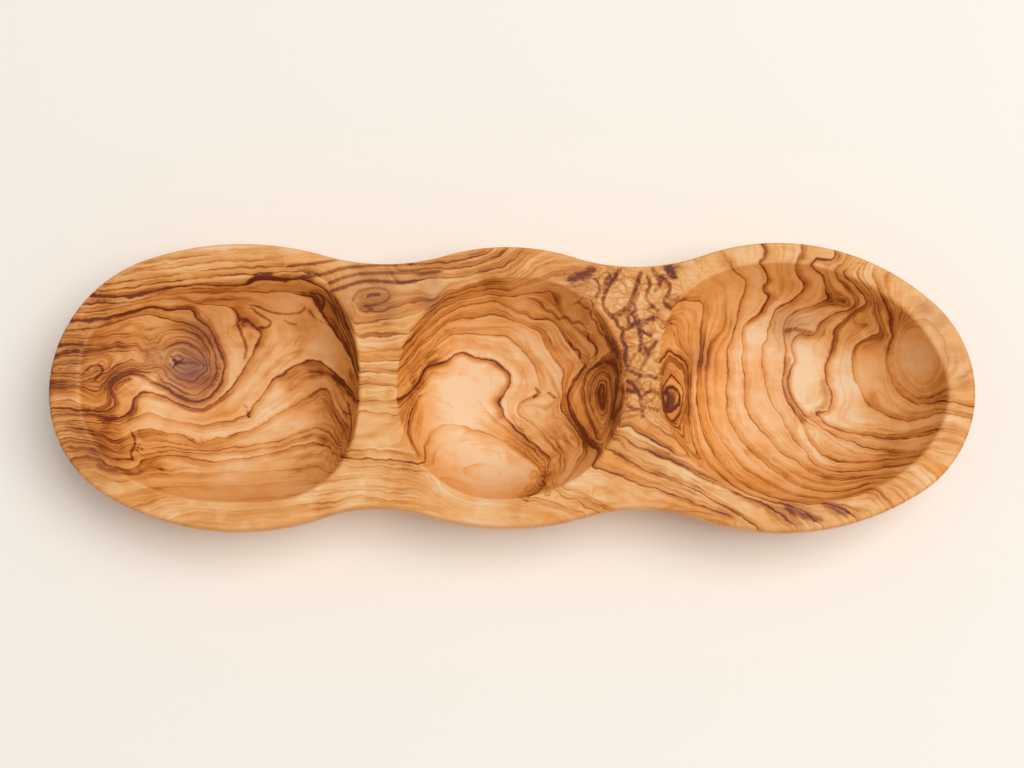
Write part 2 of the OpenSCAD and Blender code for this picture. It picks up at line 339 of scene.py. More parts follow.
# The figure of the wood: growth layers, cut through by the carving, show as lines that run over every edge.
# Each vein is drawn as its layer's number, its darkness and its places in the photograph's pixels.
veins = {
    # Left rim and left hollow
    "left rim at the back 1": (1, 0.35, [(140, 264), (170, 259), (200, 256), (230, 254), (260, 253)]),
    "left rim at the back 2": (2, 0.4, [
        (125, 274), (155, 269), (185, 265), (215, 262), (245, 261), (275, 260),
    ]),
    "left rim at the back 3": (3, 0.45, [
        (110, 284), (140, 279), (170, 275), (200, 271), (230, 268), (260, 267), (290, 266),
    ]),
    "left rim at the back 4": (4, 0.5, [
        (100, 291), (130, 287), (160, 283), (190, 279), (220, 276), (245, 274),
    ]),
    "back streak": (5, 1.0, [
        (86, 297), (100, 297), (115, 297), (130, 296), (145, 293), (160, 291), (175, 287), (190, 286),
        (205, 285), (220, 286), (235, 286), (247, 285), (254, 281), (266, 279), (280, 280), (292, 279),
        (303, 279), (312, 283),
    ]),
    "back streak down the right wall": (5, 0.75, [
        (312, 283), (322, 288), (330, 297), (336, 308), (341, 320), (347, 334), (352, 347), (356, 360),
        (358, 370),
    ]),
    "under the back streak": (6, 0.5, [
        (85, 305), (112, 304), (128, 302), (140, 299), (155, 296), (170, 294), (190, 293), (215, 292),
        (240, 292), (262, 292), (285, 292), (300, 295),
    ]),
    "right wall of the left hollow": (6, 0.8, [
        (300, 295), (310, 297), (317, 304), (320, 312), (326, 320), (333, 330), (340, 341), (347, 352),
        (353, 365), (357, 378),
    ]),
    "over the knot swirl": (7, 0.4, [
        (76, 314), (100, 312), (118, 308), (134, 304), (150, 301), (168, 299), (182, 299), (192, 303),
        (204, 304), (220, 305), (232, 308),
    ]),
    "second swirl": (7, 0.7, [
        (232, 308), (237, 315), (243, 320), (250, 323), (257, 328), (261, 334), (259, 342), (256, 349),
        (252, 356), (247, 362), (243, 369), (238, 376), (233, 384), (227, 392), (219, 399), (210, 405),
        (199, 408), (188, 407), (177, 403), (166, 398), (155, 394), (146, 392), (138, 394), (133, 400),
        (131, 408), (126, 415),
    ]),
    "second swirl to the rim": (7, 0.5, [
        (126, 415), (117, 418), (106, 417), (95, 416), (86, 415), (72, 415), (58, 415),
    ]),
    "knot swirl": (8, 0.9, [
        (64, 323), (82, 322), (100, 321), (112, 318), (125, 314), (138, 310), (148, 307), (160, 309),
        (172, 310), (184, 309), (192, 310), (195, 315), (200, 321), (207, 327), (212, 335), (217, 344),
        (221, 352), (224, 362), (223, 372), (220, 382), (214, 391), (205, 399), (195, 401), (184, 399),
        (174, 394), (163, 387), (152, 380),
    ]),
    "knot swirl's tail": (8, 0.55, [
        (152, 380), (143, 375), (133, 373), (124, 375), (116, 380), (110, 386), (110, 392), (113, 399),
        (113, 405), (107, 409), (97, 411), (85, 410), (70, 409), (56, 409),
    ]),
    "inside the knot swirl": (9, 0.55, [
        (62, 331), (80, 330), (96, 329), (108, 325), (122, 320), (136, 316), (150, 315), (165, 319),
        (180, 322), (192, 326), (203, 334), (211, 345), (216, 356), (217, 366), (214, 377), (208, 386),
        (199, 393), (190, 395), (180, 391), (170, 385),
    ]),
    "knot ring 1": (10, 0.4, [
        (150, 340), (160, 334), (172, 330), (185, 331), (197, 337), (206, 347), (211, 358), (212, 369),
        (207, 379), (198, 386), (187, 388), (176, 383), (166, 376), (157, 367), (150, 357), (147, 348),
        (150, 340),
    ]),
    "knot ring 2": (11, 0.5, [
        (163, 350), (172, 344), (183, 343), (194, 347), (203, 355), (207, 364), (204, 374), (195, 380),
        (184, 380), (173, 374), (165, 365), (161, 357), (163, 350),
    ]),
    "knot ring 3": (12, 0.5, [
        (170, 354), (182, 352), (193, 356), (200, 363), (195, 372), (184, 374), (175, 369), (169, 362),
        (170, 354),
    ]),
    "pith crack": (13, 0.3, [(177, 361), (185, 362), (195, 363), (203, 364)]),
    "left end 10": (10, 0.4, [
        (59, 338), (70, 338), (82, 338), (100, 337), (120, 334), (138, 335), (150, 340),
    ]),
    "left end 11": (11, 0.9, [(55, 346), (66, 346), (84, 346)]),
    "left end 11 inwards": (11, 0.3, [
        (84, 346), (100, 345), (120, 343), (140, 345), (155, 349), (163, 350),
    ]),
    "left end 12": (12, 0.45, [(52, 358), (65, 357), (78, 356)]),
    "left end 12 inwards": (12, 0.3, [
        (78, 356), (100, 354), (120, 351), (140, 352), (158, 355), (169, 358),
    ]),
    "left end 13": (13, 0.35, [(50, 365), (65, 365), (77, 364)]),
    "left end 13 again": (13, 0.35, [(49, 373), (65, 372), (77, 373)]),
    "left end 12 again": (12, 0.25, [
        (49, 381), (65, 380), (77, 382), (90, 379), (103, 372), (118, 364), (135, 360), (155, 361),
        (169, 362),
    ]),
    "left end 11 again": (11, 0.25, [
        (49, 388), (65, 387), (79, 387), (88, 390), (97, 391), (103, 386), (108, 379), (117, 372),
        (129, 367), (146, 366), (163, 363),
    ]),
    "left end 10 again": (10, 0.3, [(50, 395), (65, 393), (79, 395), (90, 401), (100, 402)]),
    "left end 9 again": (9, 0.3, [(52, 402), (65, 401), (80, 403), (92, 407)]),
    "left end 6": (6, 0.4, [(60, 422), (75, 421), (88, 422), (100, 422), (112, 422)]),
    "left end 5": (5, 0.4, [(63, 429), (78, 428), (90, 430), (102, 434), (114, 440)]),
    "left end 4": (4, 0.4, [(67, 438), (82, 438), (96, 442), (110, 450)]),
    "left end 3": (3, 0.4, [(72, 447), (88, 448), (104, 455), (118, 460)]),
    "left end 2": (2, 0.4, [(78, 457), (95, 459), (112, 466), (128, 470)]),
    "big arch": (6, 0.45, [
        (130, 419), (140, 415), (150, 414), (160, 417), (170, 420), (180, 423), (192, 424), (205, 425),
        (217, 423), (228, 421), (240, 417), (249, 414),
    ]),
    "big arch over the floor": (6, 0.65, [
        (249, 414), (251, 408), (255, 403), (262, 396), (267, 388), (272, 380), (278, 376), (285, 372),
        (291, 367), (298, 364), (306, 362), (314, 360), (321, 363), (328, 368), (335, 373), (342, 379),
        (349, 387), (354, 394), (359, 400),
    ]),
    "big arch across the land": (6, 0.3, [(359, 400), (378, 400), (397, 399)]),
    "under the big arch": (5, 0.45, [
        (139, 431), (147, 429), (156, 430), (166, 432), (178, 435), (192, 438), (206, 439), (220, 437),
        (233, 435), (245, 432), (256, 427), (266, 421), (277, 415), (288, 409), (300, 401), (312, 393),
        (322, 388), (329, 393), (333, 403), (339, 414), (345, 423), (349, 435),
    ]),
    "floor line 4": (4, 0.35, [
        (165, 447), (185, 449), (205, 450), (222, 449), (240, 447), (260, 444), (280, 440), (295, 435),
        (305, 431), (315, 428), (325, 430), (333, 437), (340, 446),
    ]),
    "floor line 3": (3, 0.35, [
        (150, 453), (165, 451), (185, 452), (205, 453), (230, 452), (255, 450), (275, 446), (290, 441),
        (303, 437), (315, 434), (324, 437), (332, 444), (341, 453),
    ]),
    "floor line 2": (2, 0.45, [
        (138, 465), (143, 459), (155, 456), (170, 455), (185, 457), (200, 460), (215, 461), (235, 459),
        (255, 457), (272, 453), (285, 449), (298, 446), (310, 443), (320, 443), (330, 447), (338, 454),
        (345, 461),
    ]),
    # Front rim, from the left to the middle
    "left front 1": (1, 0.2, [(150, 474), (200, 473), (240, 472), (280, 470), (315, 466)]),
    "left front 0": (0, 0.15, [
        (150, 487), (200, 486), (250, 485), (300, 481), (335, 478), (365, 476), (400, 478), (425, 486),
    ]),
    "left front -1": (-1, 0.15, [
        (170, 498), (220, 499), (270, 497), (310, 492), (345, 487), (380, 487), (420, 490),
    ]),
    "left front -2": (-2, 0.15, [
        (190, 508), (240, 511), (290, 507), (330, 501), (360, 497), (400, 500), (440, 508),
    ]),
    "front rim of the middle 2": (2, 0.12, [
        (428, 472), (438, 487), (455, 500), (480, 505), (510, 507), (535, 511), (555, 519),
    ]),
    "front rim of the middle 0": (0, 0.12, [
        (425, 486), (447, 502), (470, 512), (500, 516), (525, 519), (545, 524),
    ]),
    "front rim of the middle -1": (-1, 0.12, [(420, 490), (440, 504), (465, 516), (490, 521), (515, 524)]),
    "front rim of the middle -2": (-2, 0.12, [(440, 508), (460, 519), (480, 524)]),
    # Left land, and the rim behind the middle hollow
    "left land 5": (5, 0.45, [(362, 372), (380, 373), (396, 374)]),
    "left land 6": (6, 0.4, [(361, 385), (380, 385), (395, 387)]),
    "left land 5 in front": (5, 0.35, [(360, 411), (380, 412), (398, 414)]),
    "left land 4 in front": (4, 0.35, [(352, 450), (375, 450), (400, 452), (416, 454)]),
    "left land 3 in front": (3, 0.45, [(346, 459), (375, 459), (400, 461), (421, 463)]),
    "left land 2 in front": (2, 0.3, [(342, 466), (370, 467), (400, 468), (428, 472)]),
    "left land 4": (4, 0.3, [(361, 362), (380, 362), (399, 360)]),
    "left land 3": (3, 0.3, [(361, 352), (380, 352), (394, 350), (403, 347)]),
    "left land 2": (2, 0.25, [(359, 338), (380, 338), (398, 335), (410, 332)]),
    "left land 1": (1, 0.3, [(354, 324), (370, 323), (390, 319), (412, 314)]),
    "left land 0": (0, 0.45, [(362, 313), (378, 313), (395, 307), (415, 303), (435, 299)]),
    "small eye ring": (-1, 0, [
        (357, 296), (366, 292), (376, 292), (387, 296), (376, 301), (366, 301), (357, 296),
    ]),
    "small eye": (-2, 0, [(366, 297), (371, 295), (377, 296)]),
    "middle rim at the back -1": (-1, 0.5, [
        (400, 282), (420, 280), (440, 278), (460, 276), (480, 272), (500, 268), (512, 262), (520, 254),
    ]),
    "middle rim at the back -2": (-2, 0.5, [
        (400, 270), (430, 268), (460, 267), (480, 264), (495, 259), (506, 252),
    ]),
    "middle rim at the back -3": (-3, 0.4, [(410, 264), (440, 262), (465, 259), (485, 254)]),
    # Middle hollow, with the knot on its right wall
    "heart": (6, 0.85, [
        (397, 399), (403, 397), (408, 392), (414, 386), (420, 379), (424, 370), (428, 366), (436, 364),
        (444, 361), (450, 358), (454, 355), (460, 353), (467, 353), (472, 356), (480, 358), (488, 359),
        (494, 361), (500, 365), (505, 370), (509, 376), (510, 383), (509, 388), (505, 391), (504, 396),
        (500, 400), (500, 405), (502, 411), (503, 416),
    ]),
    "heart's right side": (6, 0.6, [
        (503, 416), (508, 421), (514, 427), (520, 432), (526, 436), (529, 441), (535, 446), (541, 451),
        (548, 456), (550, 462), (547, 468), (545, 475), (544, 482), (541, 489), (535, 494), (528, 497),
    ]),
    "heart on the rim": (6, 0.35, [(528, 497), (545, 500), (562, 505), (580, 511)]),
    "heart's left side": (4, 0.4, [
        (416, 454), (411, 444), (408, 434), (408, 424), (411, 413), (415, 404), (418, 396),
    ]),
    "heart's floor": (3, 0.35, [
        (421, 463), (424, 452), (427, 441), (431, 433), (438, 428), (450, 425), (462, 426), (477, 430),
        (490, 434), (505, 441), (518, 449), (530, 458), (538, 466), (541, 475), (539, 485), (532, 492),
    ]),
    "floor spot": (2, 0.25, [
        (468, 467), (480, 464), (493, 467), (500, 473), (492, 479), (478, 480), (466, 475), (468, 467),
    ]),
    "heart shell 6": (6, 0.35, [
        (397, 388), (405, 381), (413, 372), (424, 360), (434, 349), (446, 338), (458, 334), (470, 334),
        (482, 335), (495, 336), (508, 339), (519, 347), (528, 358), (535, 369), (540, 381), (538, 390),
        (530, 397), (521, 402), (518, 408), (521, 416), (530, 423), (540, 431), (548, 440), (555, 450),
        (560, 460), (559, 470), (552, 482), (545, 492), (562, 497), (580, 504), (598, 512),
    ]),
    "heart shell 5": (5, 0.45, [
        (396, 375), (404, 366), (412, 356), (420, 347), (428, 340), (436, 333), (444, 326), (452, 322),
        (462, 320), (472, 319), (480, 317), (487, 315), (495, 315), (503, 317), (512, 320), (522, 324),
        (531, 328), (540, 333), (545, 342), (550, 352), (556, 361), (561, 368), (563, 377), (562, 387),
        (563, 396), (561, 404), (561, 411), (566, 418), (572, 425), (578, 432), (582, 440), (583, 447),
        (578, 458), (573, 468), (567, 479), (562, 487), (578, 494), (594, 503), (610, 511),
    ]),
    "heart shell 4": (4, 0.4, [
        (399, 360), (406, 352), (415, 343), (422, 335), (430, 327), (438, 320), (447, 314), (456, 309),
        (466, 305), (476, 304), (486, 303), (496, 303), (504, 306), (511, 309), (518, 313), (526, 313),
        (532, 317), (540, 319), (550, 321), (556, 326), (562, 334), (568, 342), (574, 349), (580, 357),
        (585, 365),
    ]),
    "wall knot outer": (4, 0.75, [
        (585, 365), (581, 372), (575, 377), (572, 383), (570, 389), (568, 396), (568, 404), (570, 412),
        (574, 420), (579, 427), (583, 434), (587, 441), (592, 447), (597, 450), (597, 457), (594, 465),
    ]),
    "wall knot outer on the front rim": (4, 0.5, [
        (594, 465), (610, 473), (628, 480), (648, 487), (668, 493), (690, 501), (710, 509), (730, 516),
    ]),
    "wall knot inner": (3, 0.48, [
        (596, 363), (590, 370), (585, 379), (582, 388), (582, 397), (584, 406), (587, 415), (591, 424),
        (595, 433), (600, 441), (605, 447),
    ]),
    "wall knot ring": (2, 0.35, [
        (612, 380), (606, 372), (599, 372), (593, 380), (590, 390), (590, 401), (593, 411), (597, 421),
        (602, 430), (607, 421), (610, 409), (612, 396), (612, 380),
    ]),
    "wall knot heart": (1, 0.35, [
        (602, 384), (598, 392), (599, 402), (602, 409), (605, 400), (605, 390), (602, 384),
    ]),
    "right lip of the middle hollow": (3, 0.42, [
        (590, 300), (594, 309), (598, 320), (603, 332), (609, 343), (616, 354), (621, 364), (622, 375),
        (619, 386), (616, 396), (614, 408), (612, 420), (610, 432), (607, 443), (605, 447),
    ]),
    "heart shell 3": (3, 0.5, [
        (403, 347), (411, 338), (420, 328), (428, 319), (437, 311), (447, 306), (457, 302), (467, 298),
        (478, 296), (488, 295), (498, 296), (508, 297), (518, 295), (528, 293), (538, 292), (548, 290),
    ]),
    "heart shell 2": (2, 0.5, [
        (410, 332), (420, 321), (430, 311), (440, 303), (450, 299), (460, 296), (470, 292), (480, 290),
        (490, 289), (500, 290), (507, 291),
    ]),
    "loop at the back of the middle hollow": (3, 0.2, [
        (548, 290), (555, 300), (562, 309), (568, 317), (575, 322), (583, 325), (590, 320), (594, 309),
    ]),
    # Front rim, from the middle to the right
    "front rim 3": (3, 0.5, [
        (607, 449), (622, 457), (640, 467), (660, 476), (680, 484), (697, 492), (714, 502), (730, 510),
        (745, 519), (757, 529),
    ]),
    "front rim 2": (2, 0.48, [
        (612, 432), (628, 441), (645, 450), (660, 457), (675, 463), (690, 471), (706, 480), (722, 488),
        (740, 496), (757, 502), (770, 508), (783, 517), (795, 526),
    ]),
    "front rim 1": (1, 0.45, [(620, 420), (637, 431), (652, 440), (668, 450)]),
    # Right hollow, from the knot on its left lip to its right end
    "lip knot 4": (4, 0.45, [
        (670, 376), (676, 379), (681, 386), (683, 395), (682, 404), (679, 413), (674, 420), (668, 418),
        (664, 408), (662, 396), (664, 384), (670, 376),
    ]),
    "lip knot 3": (3, 0.45, [
        (663, 372), (669, 361), (675, 365), (681, 371), (685, 382), (687, 394), (686, 407), (684, 420),
        (682, 435),
    ]),
    "lip knot 2": (2, 0.55, [
        (664, 358), (670, 352), (677, 357), (684, 363), (688, 374), (689, 386), (689, 399), (688, 412),
        (689, 427), (692, 441), (697, 453),
    ]),
    "right arc 1": (1, 0.42, [
        (664, 330), (669, 326), (675, 326), (677, 333), (680, 344), (685, 353), (690, 362), (691, 375),
        (691, 390), (692, 405), (693, 420), (696, 434), (699, 446), (704, 457), (711, 467), (720, 476),
        (731, 485), (743, 492), (756, 498), (772, 502), (788, 505), (802, 512), (812, 521),
    ]),
    "right arc 0": (0, 0.42, [
        (671, 309), (677, 303), (686, 300), (695, 301), (702, 303), (704, 311), (702, 322), (700, 335),
        (700, 348), (698, 362), (697, 376), (697, 391), (698, 406), (700, 421), (704, 435), (710, 448),
        (717, 460), (726, 471), (737, 480), (749, 488), (763, 494), (777, 499), (793, 502), (811, 504),
        (830, 505), (842, 510), (852, 516),
    ]),
    "right arc -1": (-1, 0.42, [
        (710, 345), (706, 360), (705, 375), (706, 390), (708, 404), (711, 417), (715, 428), (720, 438),
        (727, 448), (735, 458), (744, 468), (756, 477), (768, 484), (780, 490), (794, 495), (812, 498),
        (832, 499), (850, 497), (866, 493),
    ]),
    "right arc -2": (-2, 0.45, [
        (733, 268), (738, 275), (744, 277), (747, 284), (745, 292), (741, 300), (738, 310), (736, 320),
        (734, 332), (730, 344), (727, 356), (728, 370), (727, 385), (726, 400), (727, 414), (731, 424),
        (736, 432), (742, 440), (748, 448), (755, 455), (763, 461), (770, 467), (777, 473), (784, 478),
        (790, 482), (800, 486), (808, 489), (818, 491), (832, 492), (848, 490), (864, 486),
    ]),
    "right arc -3 over the rim": (-3, 0.7, [
        (760, 243), (763, 250), (762, 258), (758, 265), (763, 269), (766, 276), (767, 281), (763, 288),
        (766, 294), (769, 298), (765, 304), (760, 311), (752, 318), (745, 324),
    ]),
    "right arc -3": (-3, 0.5, [
        (745, 324), (742, 333), (743, 345), (742, 358), (743, 370), (744, 383), (743, 397), (747, 409),
        (752, 418), (758, 427), (764, 435), (771, 442), (778, 449), (786, 455), (795, 459), (801, 464),
        (808, 471), (820, 476), (836, 479), (852, 479), (870, 476),
    ]),
    "right arc -4 over the rim": (-4, 0.6, [
        (800, 245), (801, 253), (797, 262), (796, 270), (799, 278), (804, 287), (798, 294), (792, 299),
        (786, 304), (780, 307), (774, 313), (770, 320),
    ]),
    "right arc -4": (-4, 0.45, [
        (770, 320), (769, 333), (764, 345), (762, 358), (763, 372), (766, 385), (770, 397), (775, 408),
        (781, 417), (786, 427), (792, 437), (799, 445), (806, 450), (810, 457), (814, 464), (824, 469),
        (840, 472), (860, 471), (885, 468), (908, 464),
    ]),
    "right arc -5 over the rim": (-5, 0.7, [
        (834, 250), (836, 258), (824, 260), (811, 263), (813, 268), (820, 272), (825, 281), (824, 291),
        (826, 299), (818, 304), (808, 307), (798, 309), (790, 314),
    ]),
    "right arc -5": (-5, 0.5, [
        (790, 314), (784, 324), (783, 336), (786, 347), (785, 358), (784, 370), (783, 382), (785, 394),
        (790, 405), (795, 413), (800, 421), (804, 431), (809, 440), (816, 449), (824, 456), (834, 461),
        (850, 463), (875, 461), (900, 458), (920, 455),
    ]),
    "pale tongue": (-6, 0.45, [
        (852, 309), (843, 311), (834, 314), (826, 318), (819, 325), (814, 332), (808, 335), (800, 332),
        (794, 337), (792, 346), (794, 357), (791, 370), (788, 382), (790, 394), (795, 403), (801, 411),
        (808, 419), (818, 423), (826, 430), (836, 436), (848, 441), (862, 446), (880, 450), (900, 452),
        (925, 449),
    ]),
    "pale tongue's right side": (-7, 0.6, [
        (843, 273), (848, 279), (853, 284), (858, 290), (863, 296), (866, 302), (861, 307), (855, 311),
        (849, 316), (842, 322), (835, 328), (832, 340), (829, 352), (825, 362), (825, 373), (828, 384),
        (832, 396), (829, 405), (823, 412), (818, 417), (824, 422), (836, 428), (852, 433), (870, 437),
        (895, 440), (930, 434),
    ]),
    "right shell -8": (-8, 0.35, [
        (858, 277), (865, 284), (870, 291), (874, 303), (876, 315), (879, 325), (876, 334), (866, 338),
        (856, 344), (852, 355), (853, 368), (856, 380), (861, 392), (867, 402), (876, 410), (888, 416),
        (903, 420), (921, 419), (945, 414), (970, 420),
    ]),
    "right shell -9": (-9, 0.4, [
        (872, 275), (877, 286), (881, 297), (885, 307), (889, 316), (890, 326), (892, 336), (888, 348),
        (886, 361), (888, 373), (892, 383), (898, 392), (906, 399), (916, 404), (926, 403), (936, 402),
        (946, 402), (972, 407),
    ]),
    # Guides for the layers between two veins, with no darkness of their own
    "tongue over the heart": (6.5, 0, [
        (366, 392), (395, 394), (410, 381), (426, 359), (448, 347), (480, 347), (504, 354), (521, 372),
        (525, 388), (512, 401), (511, 413), (525, 425), (540, 440), (553, 455), (554, 470), (549, 487),
        (560, 500), (575, 507),
    ]),
    "between the arch and the floor lines": (4.5, 0, [
        (240, 441), (265, 434), (285, 425), (303, 413), (318, 404), (328, 412), (336, 428), (344, 440),
    ]),
    "ridge from the left end": (13.4, 0, [(50, 369), (65, 369), (80, 369), (92, 368), (104, 366)]),
    "between the swirls": (7.5, 0, [
        (155, 388), (145, 384), (135, 384), (126, 387), (121, 393), (121, 400), (121, 407), (116, 412),
    ]),
    "right of the red patch": (-7.5, 0, [(868, 310), (869, 322), (860, 330), (847, 336), (842, 350)]),
    "between heart shells 5 and 6": (5.5, 0, [
        (541, 410), (548, 420), (557, 431), (565, 440), (568, 450), (568, 460), (565, 470), (560, 480),
    ]),
    "inside the heart's floor": (2.4, 0, [(512, 455), (520, 463), (526, 472), (527, 480), (522, 487)]),
    "front land by the middle hollow": (4.5, 0, [
        (575, 484), (590, 484), (605, 490), (622, 497), (640, 502), (660, 508),
    ]),
    "left front between the lines": (1.6, 0, [(148, 463), (160, 464), (172, 464)]),
    "right corner of the left floor": (1.4, 0, [(322, 455), (328, 460), (331, 465)]),
    "front land": (0.5, 0, [(640, 420), (655, 430), (672, 440), (684, 450)]),
    "front rim between the lines": (2.5, 0, [(735, 503), (748, 510), (762, 518), (772, 526)]),
    "middle of the pale tongue": (-6.5, 0, [(815, 342), (811, 360), (808, 380), (808, 402)]),
    # The grey oval in the right hollow
    "right oval": (-11, 0.15, [
        (905, 325), (920, 318), (935, 327), (945, 345), (948, 365), (942, 382), (928, 391), (912, 387),
        (900, 372), (897, 350), (905, 325),
    ]),
    "right oval inside": (-12, 0.05, [
        (912, 345), (922, 338), (932, 350), (934, 366), (924, 374), (914, 364), (912, 345),
    ]),
}

photo_focal_px = photo_size_px[0] / 2 / math.tan(lens_angle / 2)
view_turn = camera.rotation_euler.to_matrix()


def on_dish(px, py):
    """Place on the dish, in millimetres, that a pixel of the photograph shows, or None beside it."""
    ray = view_turn @ Vector((px - photo_size_px[0] / 2, photo_size_px[1] / 2 - py, -photo_focal_px))
    hit, place, normal, face = dish.ray_cast(camera_place, ray.normalized())
    return place / mm if hit else None


def smooth_path(places, step_px):
    """Points about step_px apart on a smooth curve through the given places."""
    drawn = np.array([places[0], *places, places[-1]], float)
    points = []
    for a, b, c, d in zip(drawn, drawn[1:], drawn[2:], drawn[3:]):
        steps = max(1, round(math.dist(b, c) / step_px))
        for t in np.arange(steps)[:, None] / steps:
            bend = 2 * b + (c - a) * t + (2 * a - 5 * b + 4 * c - d) * t**2 + (3 * b - a - 3 * c + d) * t**3
            points.append(bend / 2)
    return [*points, drawn[-1]]


field_step_px = 9
strength_step_px = 2
field_places, field_layers, strength_places, strengths = [], [], [], []
for layer, darkness, places in veins.values():
    for px, py in smooth_path(places, field_step_px):
        place = on_dish(px, py)
        if place:
            field_places.append(place)
            field_layers.append(layer)
    for px, py in smooth_path(places, strength_step_px):
        place = on_dish(px, py)
        if place and darkness:
            strength_places.append(place)
            strengths.append(darkness)

# A smooth growth field through all the veins: a multiquadric with a linear trend
field_places = np.array(field_places)
field_softness = 3.0
field_slack = 0.02
count = len(field_places)
spans = np.linalg.norm(field_places[:, None] - field_places[None], axis=2)
kernel = np.sqrt(spans**2 + field_softness**2) - field_slack * np.eye(count)
trend = np.column_stack([np.ones(count), field_places])
system = np.block([[kernel, trend], [trend.T, np.zeros((4, 4))]])
solved = np.linalg.solve(system, np.concatenate([field_layers, np.zeros(4)]))
weights, trend_weights = solved[:count], solved[count:]


def of_vertices(name):
    """Places or normals of all the vertices, one row for each."""
    values = np.empty(len(dish.data.vertices) * 3, np.float32)
    dish.data.vertices.foreach_get(name, values)
    return values.reshape(-1, 3).astype(float)


# The field at each vertex, and how fast it changes along the surface, worked out in parts to save memory
points = of_vertices("co") / mm
normals = of_vertices("normal")
field_parts = 40
least_slope = 0.03
layer_values, layer_slopes = [], []
for part, facing in zip(np.array_split(points, field_parts), np.array_split(normals, field_parts)):
    away = np.sqrt(
        np.maximum((part**2).sum(1)[:, None] + (field_places**2).sum(1)[None] - 2 * part @ field_places.T, 0)
        + field_softness**2
    )
    layer_values.append(away @ weights + trend_weights[0] + part @ trend_weights[1:])
    pull = weights / away
    gradient = part * pull.sum(1)[:, None] - pull @ field_places + trend_weights[1:]
    gradient -= (gradient * facing).sum(1)[:, None] * facing
    layer_slopes.append(np.linalg.norm(gradient, axis=1))
layer_values = np.concatenate(layer_values)
layer_slopes = np.maximum(np.concatenate(layer_slopes), least_slope)

# The darkness of the nearest drawn vein, which fades fast for the line and slowly for the glow beside it
tree_of_veins = KDTree(len(strength_places))
for index, place in enumerate(strength_places):
    tree_of_veins.insert(place, index)
tree_of_veins.balance()
vein_reach = 2.2
glow_reach = 5.0
vein_values, glow_values = np.empty(len(points)), np.empty(len(points))
for i, point in enumerate(points):
    place, index, gap = tree_of_veins.find(point)
    vein_values[i] = strengths[index] * math.exp(-((gap / vein_reach) ** 2))
    glow_values[i] = strengths[index] * math.exp(-((gap / glow_reach) ** 2))

# Marks, which don't follow the growth layers: cracks, bark pockets, flecks and the outlines of burl.
# Each is a darkness, half a width in millimetres, and its places in the photograph's pixels. A lone mark's
# distance is negative on one side of it, which keeps a thin line whole between two vertices.
# Crowded marks, whose sides would clash, have a plain distance.
marks = {
    "pith crack long arm": (0.5, 0.5, [(182, 363), (193, 363), (205, 365)]),
    "line by the swirl": (0.45, 0.5, [(238, 326), (243, 337), (246, 347), (245, 357)]),
    "pale island's lower edge": (0.5, 0.45, [
        (252, 305), (259, 307), (271, 312), (284, 314), (298, 313), (304, 310),
    ]),
    "curl under the island": (0.5, 0.45, [
        (261, 328), (268, 327), (271, 322), (267, 319), (257, 313), (253, 309),
    ]),
    "streak on the right wall": (0.5, 0.5, [(348, 405), (351, 418), (351, 432), (348, 444)]),
    "small eye at the left": (0.5, 0.5, [(86, 371), (92, 366), (100, 366), (103, 371), (96, 378)]),
    "left front crack": (0.5, 0.5, [(133, 435), (135, 441), (134, 447), (131, 453), (133, 459)]),
    "left front crack's foot": (0.5, 0.5, [(133, 459), (125, 459), (117, 459)]),
    "small eye's ring": (0.3, 0.45, [
        (353, 300), (357, 293), (367, 289), (380, 288), (388, 292), (388, 299), (379, 304), (366, 306),
    ]),
    "rim behind the land 1": (0.5, 0.5, [(290, 266), (300, 265), (312, 264), (324, 262), (336, 260)]),
    "rim behind the land 2": (0.5, 0.6, [
        (412, 264), (396, 265), (377, 265), (365, 266), (352, 267), (340, 269), (324, 274), (302, 277),
    ]),
    "rim behind the land 3": (0.45, 0.55, [
        (330, 283), (340, 279), (350, 276), (360, 274), (377, 273), (396, 273), (420, 273), (440, 271),
    ]),
    "rim behind the land 4": (0.55, 0.55, [
        (416, 281), (402, 283), (389, 282), (377, 281), (367, 281), (360, 282), (350, 285), (342, 288),
        (334, 290),
    ]),
    "curl on the middle hollow's wall 1": (0.35, 0.5, [(574, 304), (579, 302), (584, 307), (591, 309)]),
    "curl on the middle hollow's wall 2": (0.35, 0.55, [
        (533, 299), (540, 302), (545, 310), (553, 312), (558, 319), (566, 317), (573, 323), (579, 322),
        (585, 327),
    ]),
    "curl on the middle hollow's wall 3": (0.5, 0.6, [
        (591, 310), (591, 317), (596, 322), (599, 331), (605, 337), (609, 347),
    ]),
    "curl on the middle hollow's wall 4": (0.35, 0.5, [
        (592, 358), (597, 351), (594, 344), (589, 341), (588, 334),
    ]),
    "curl on the middle hollow's wall 5": (0.4, 0.5, [
        (570, 343), (573, 349), (579, 351), (580, 358), (584, 364),
    ]),
}
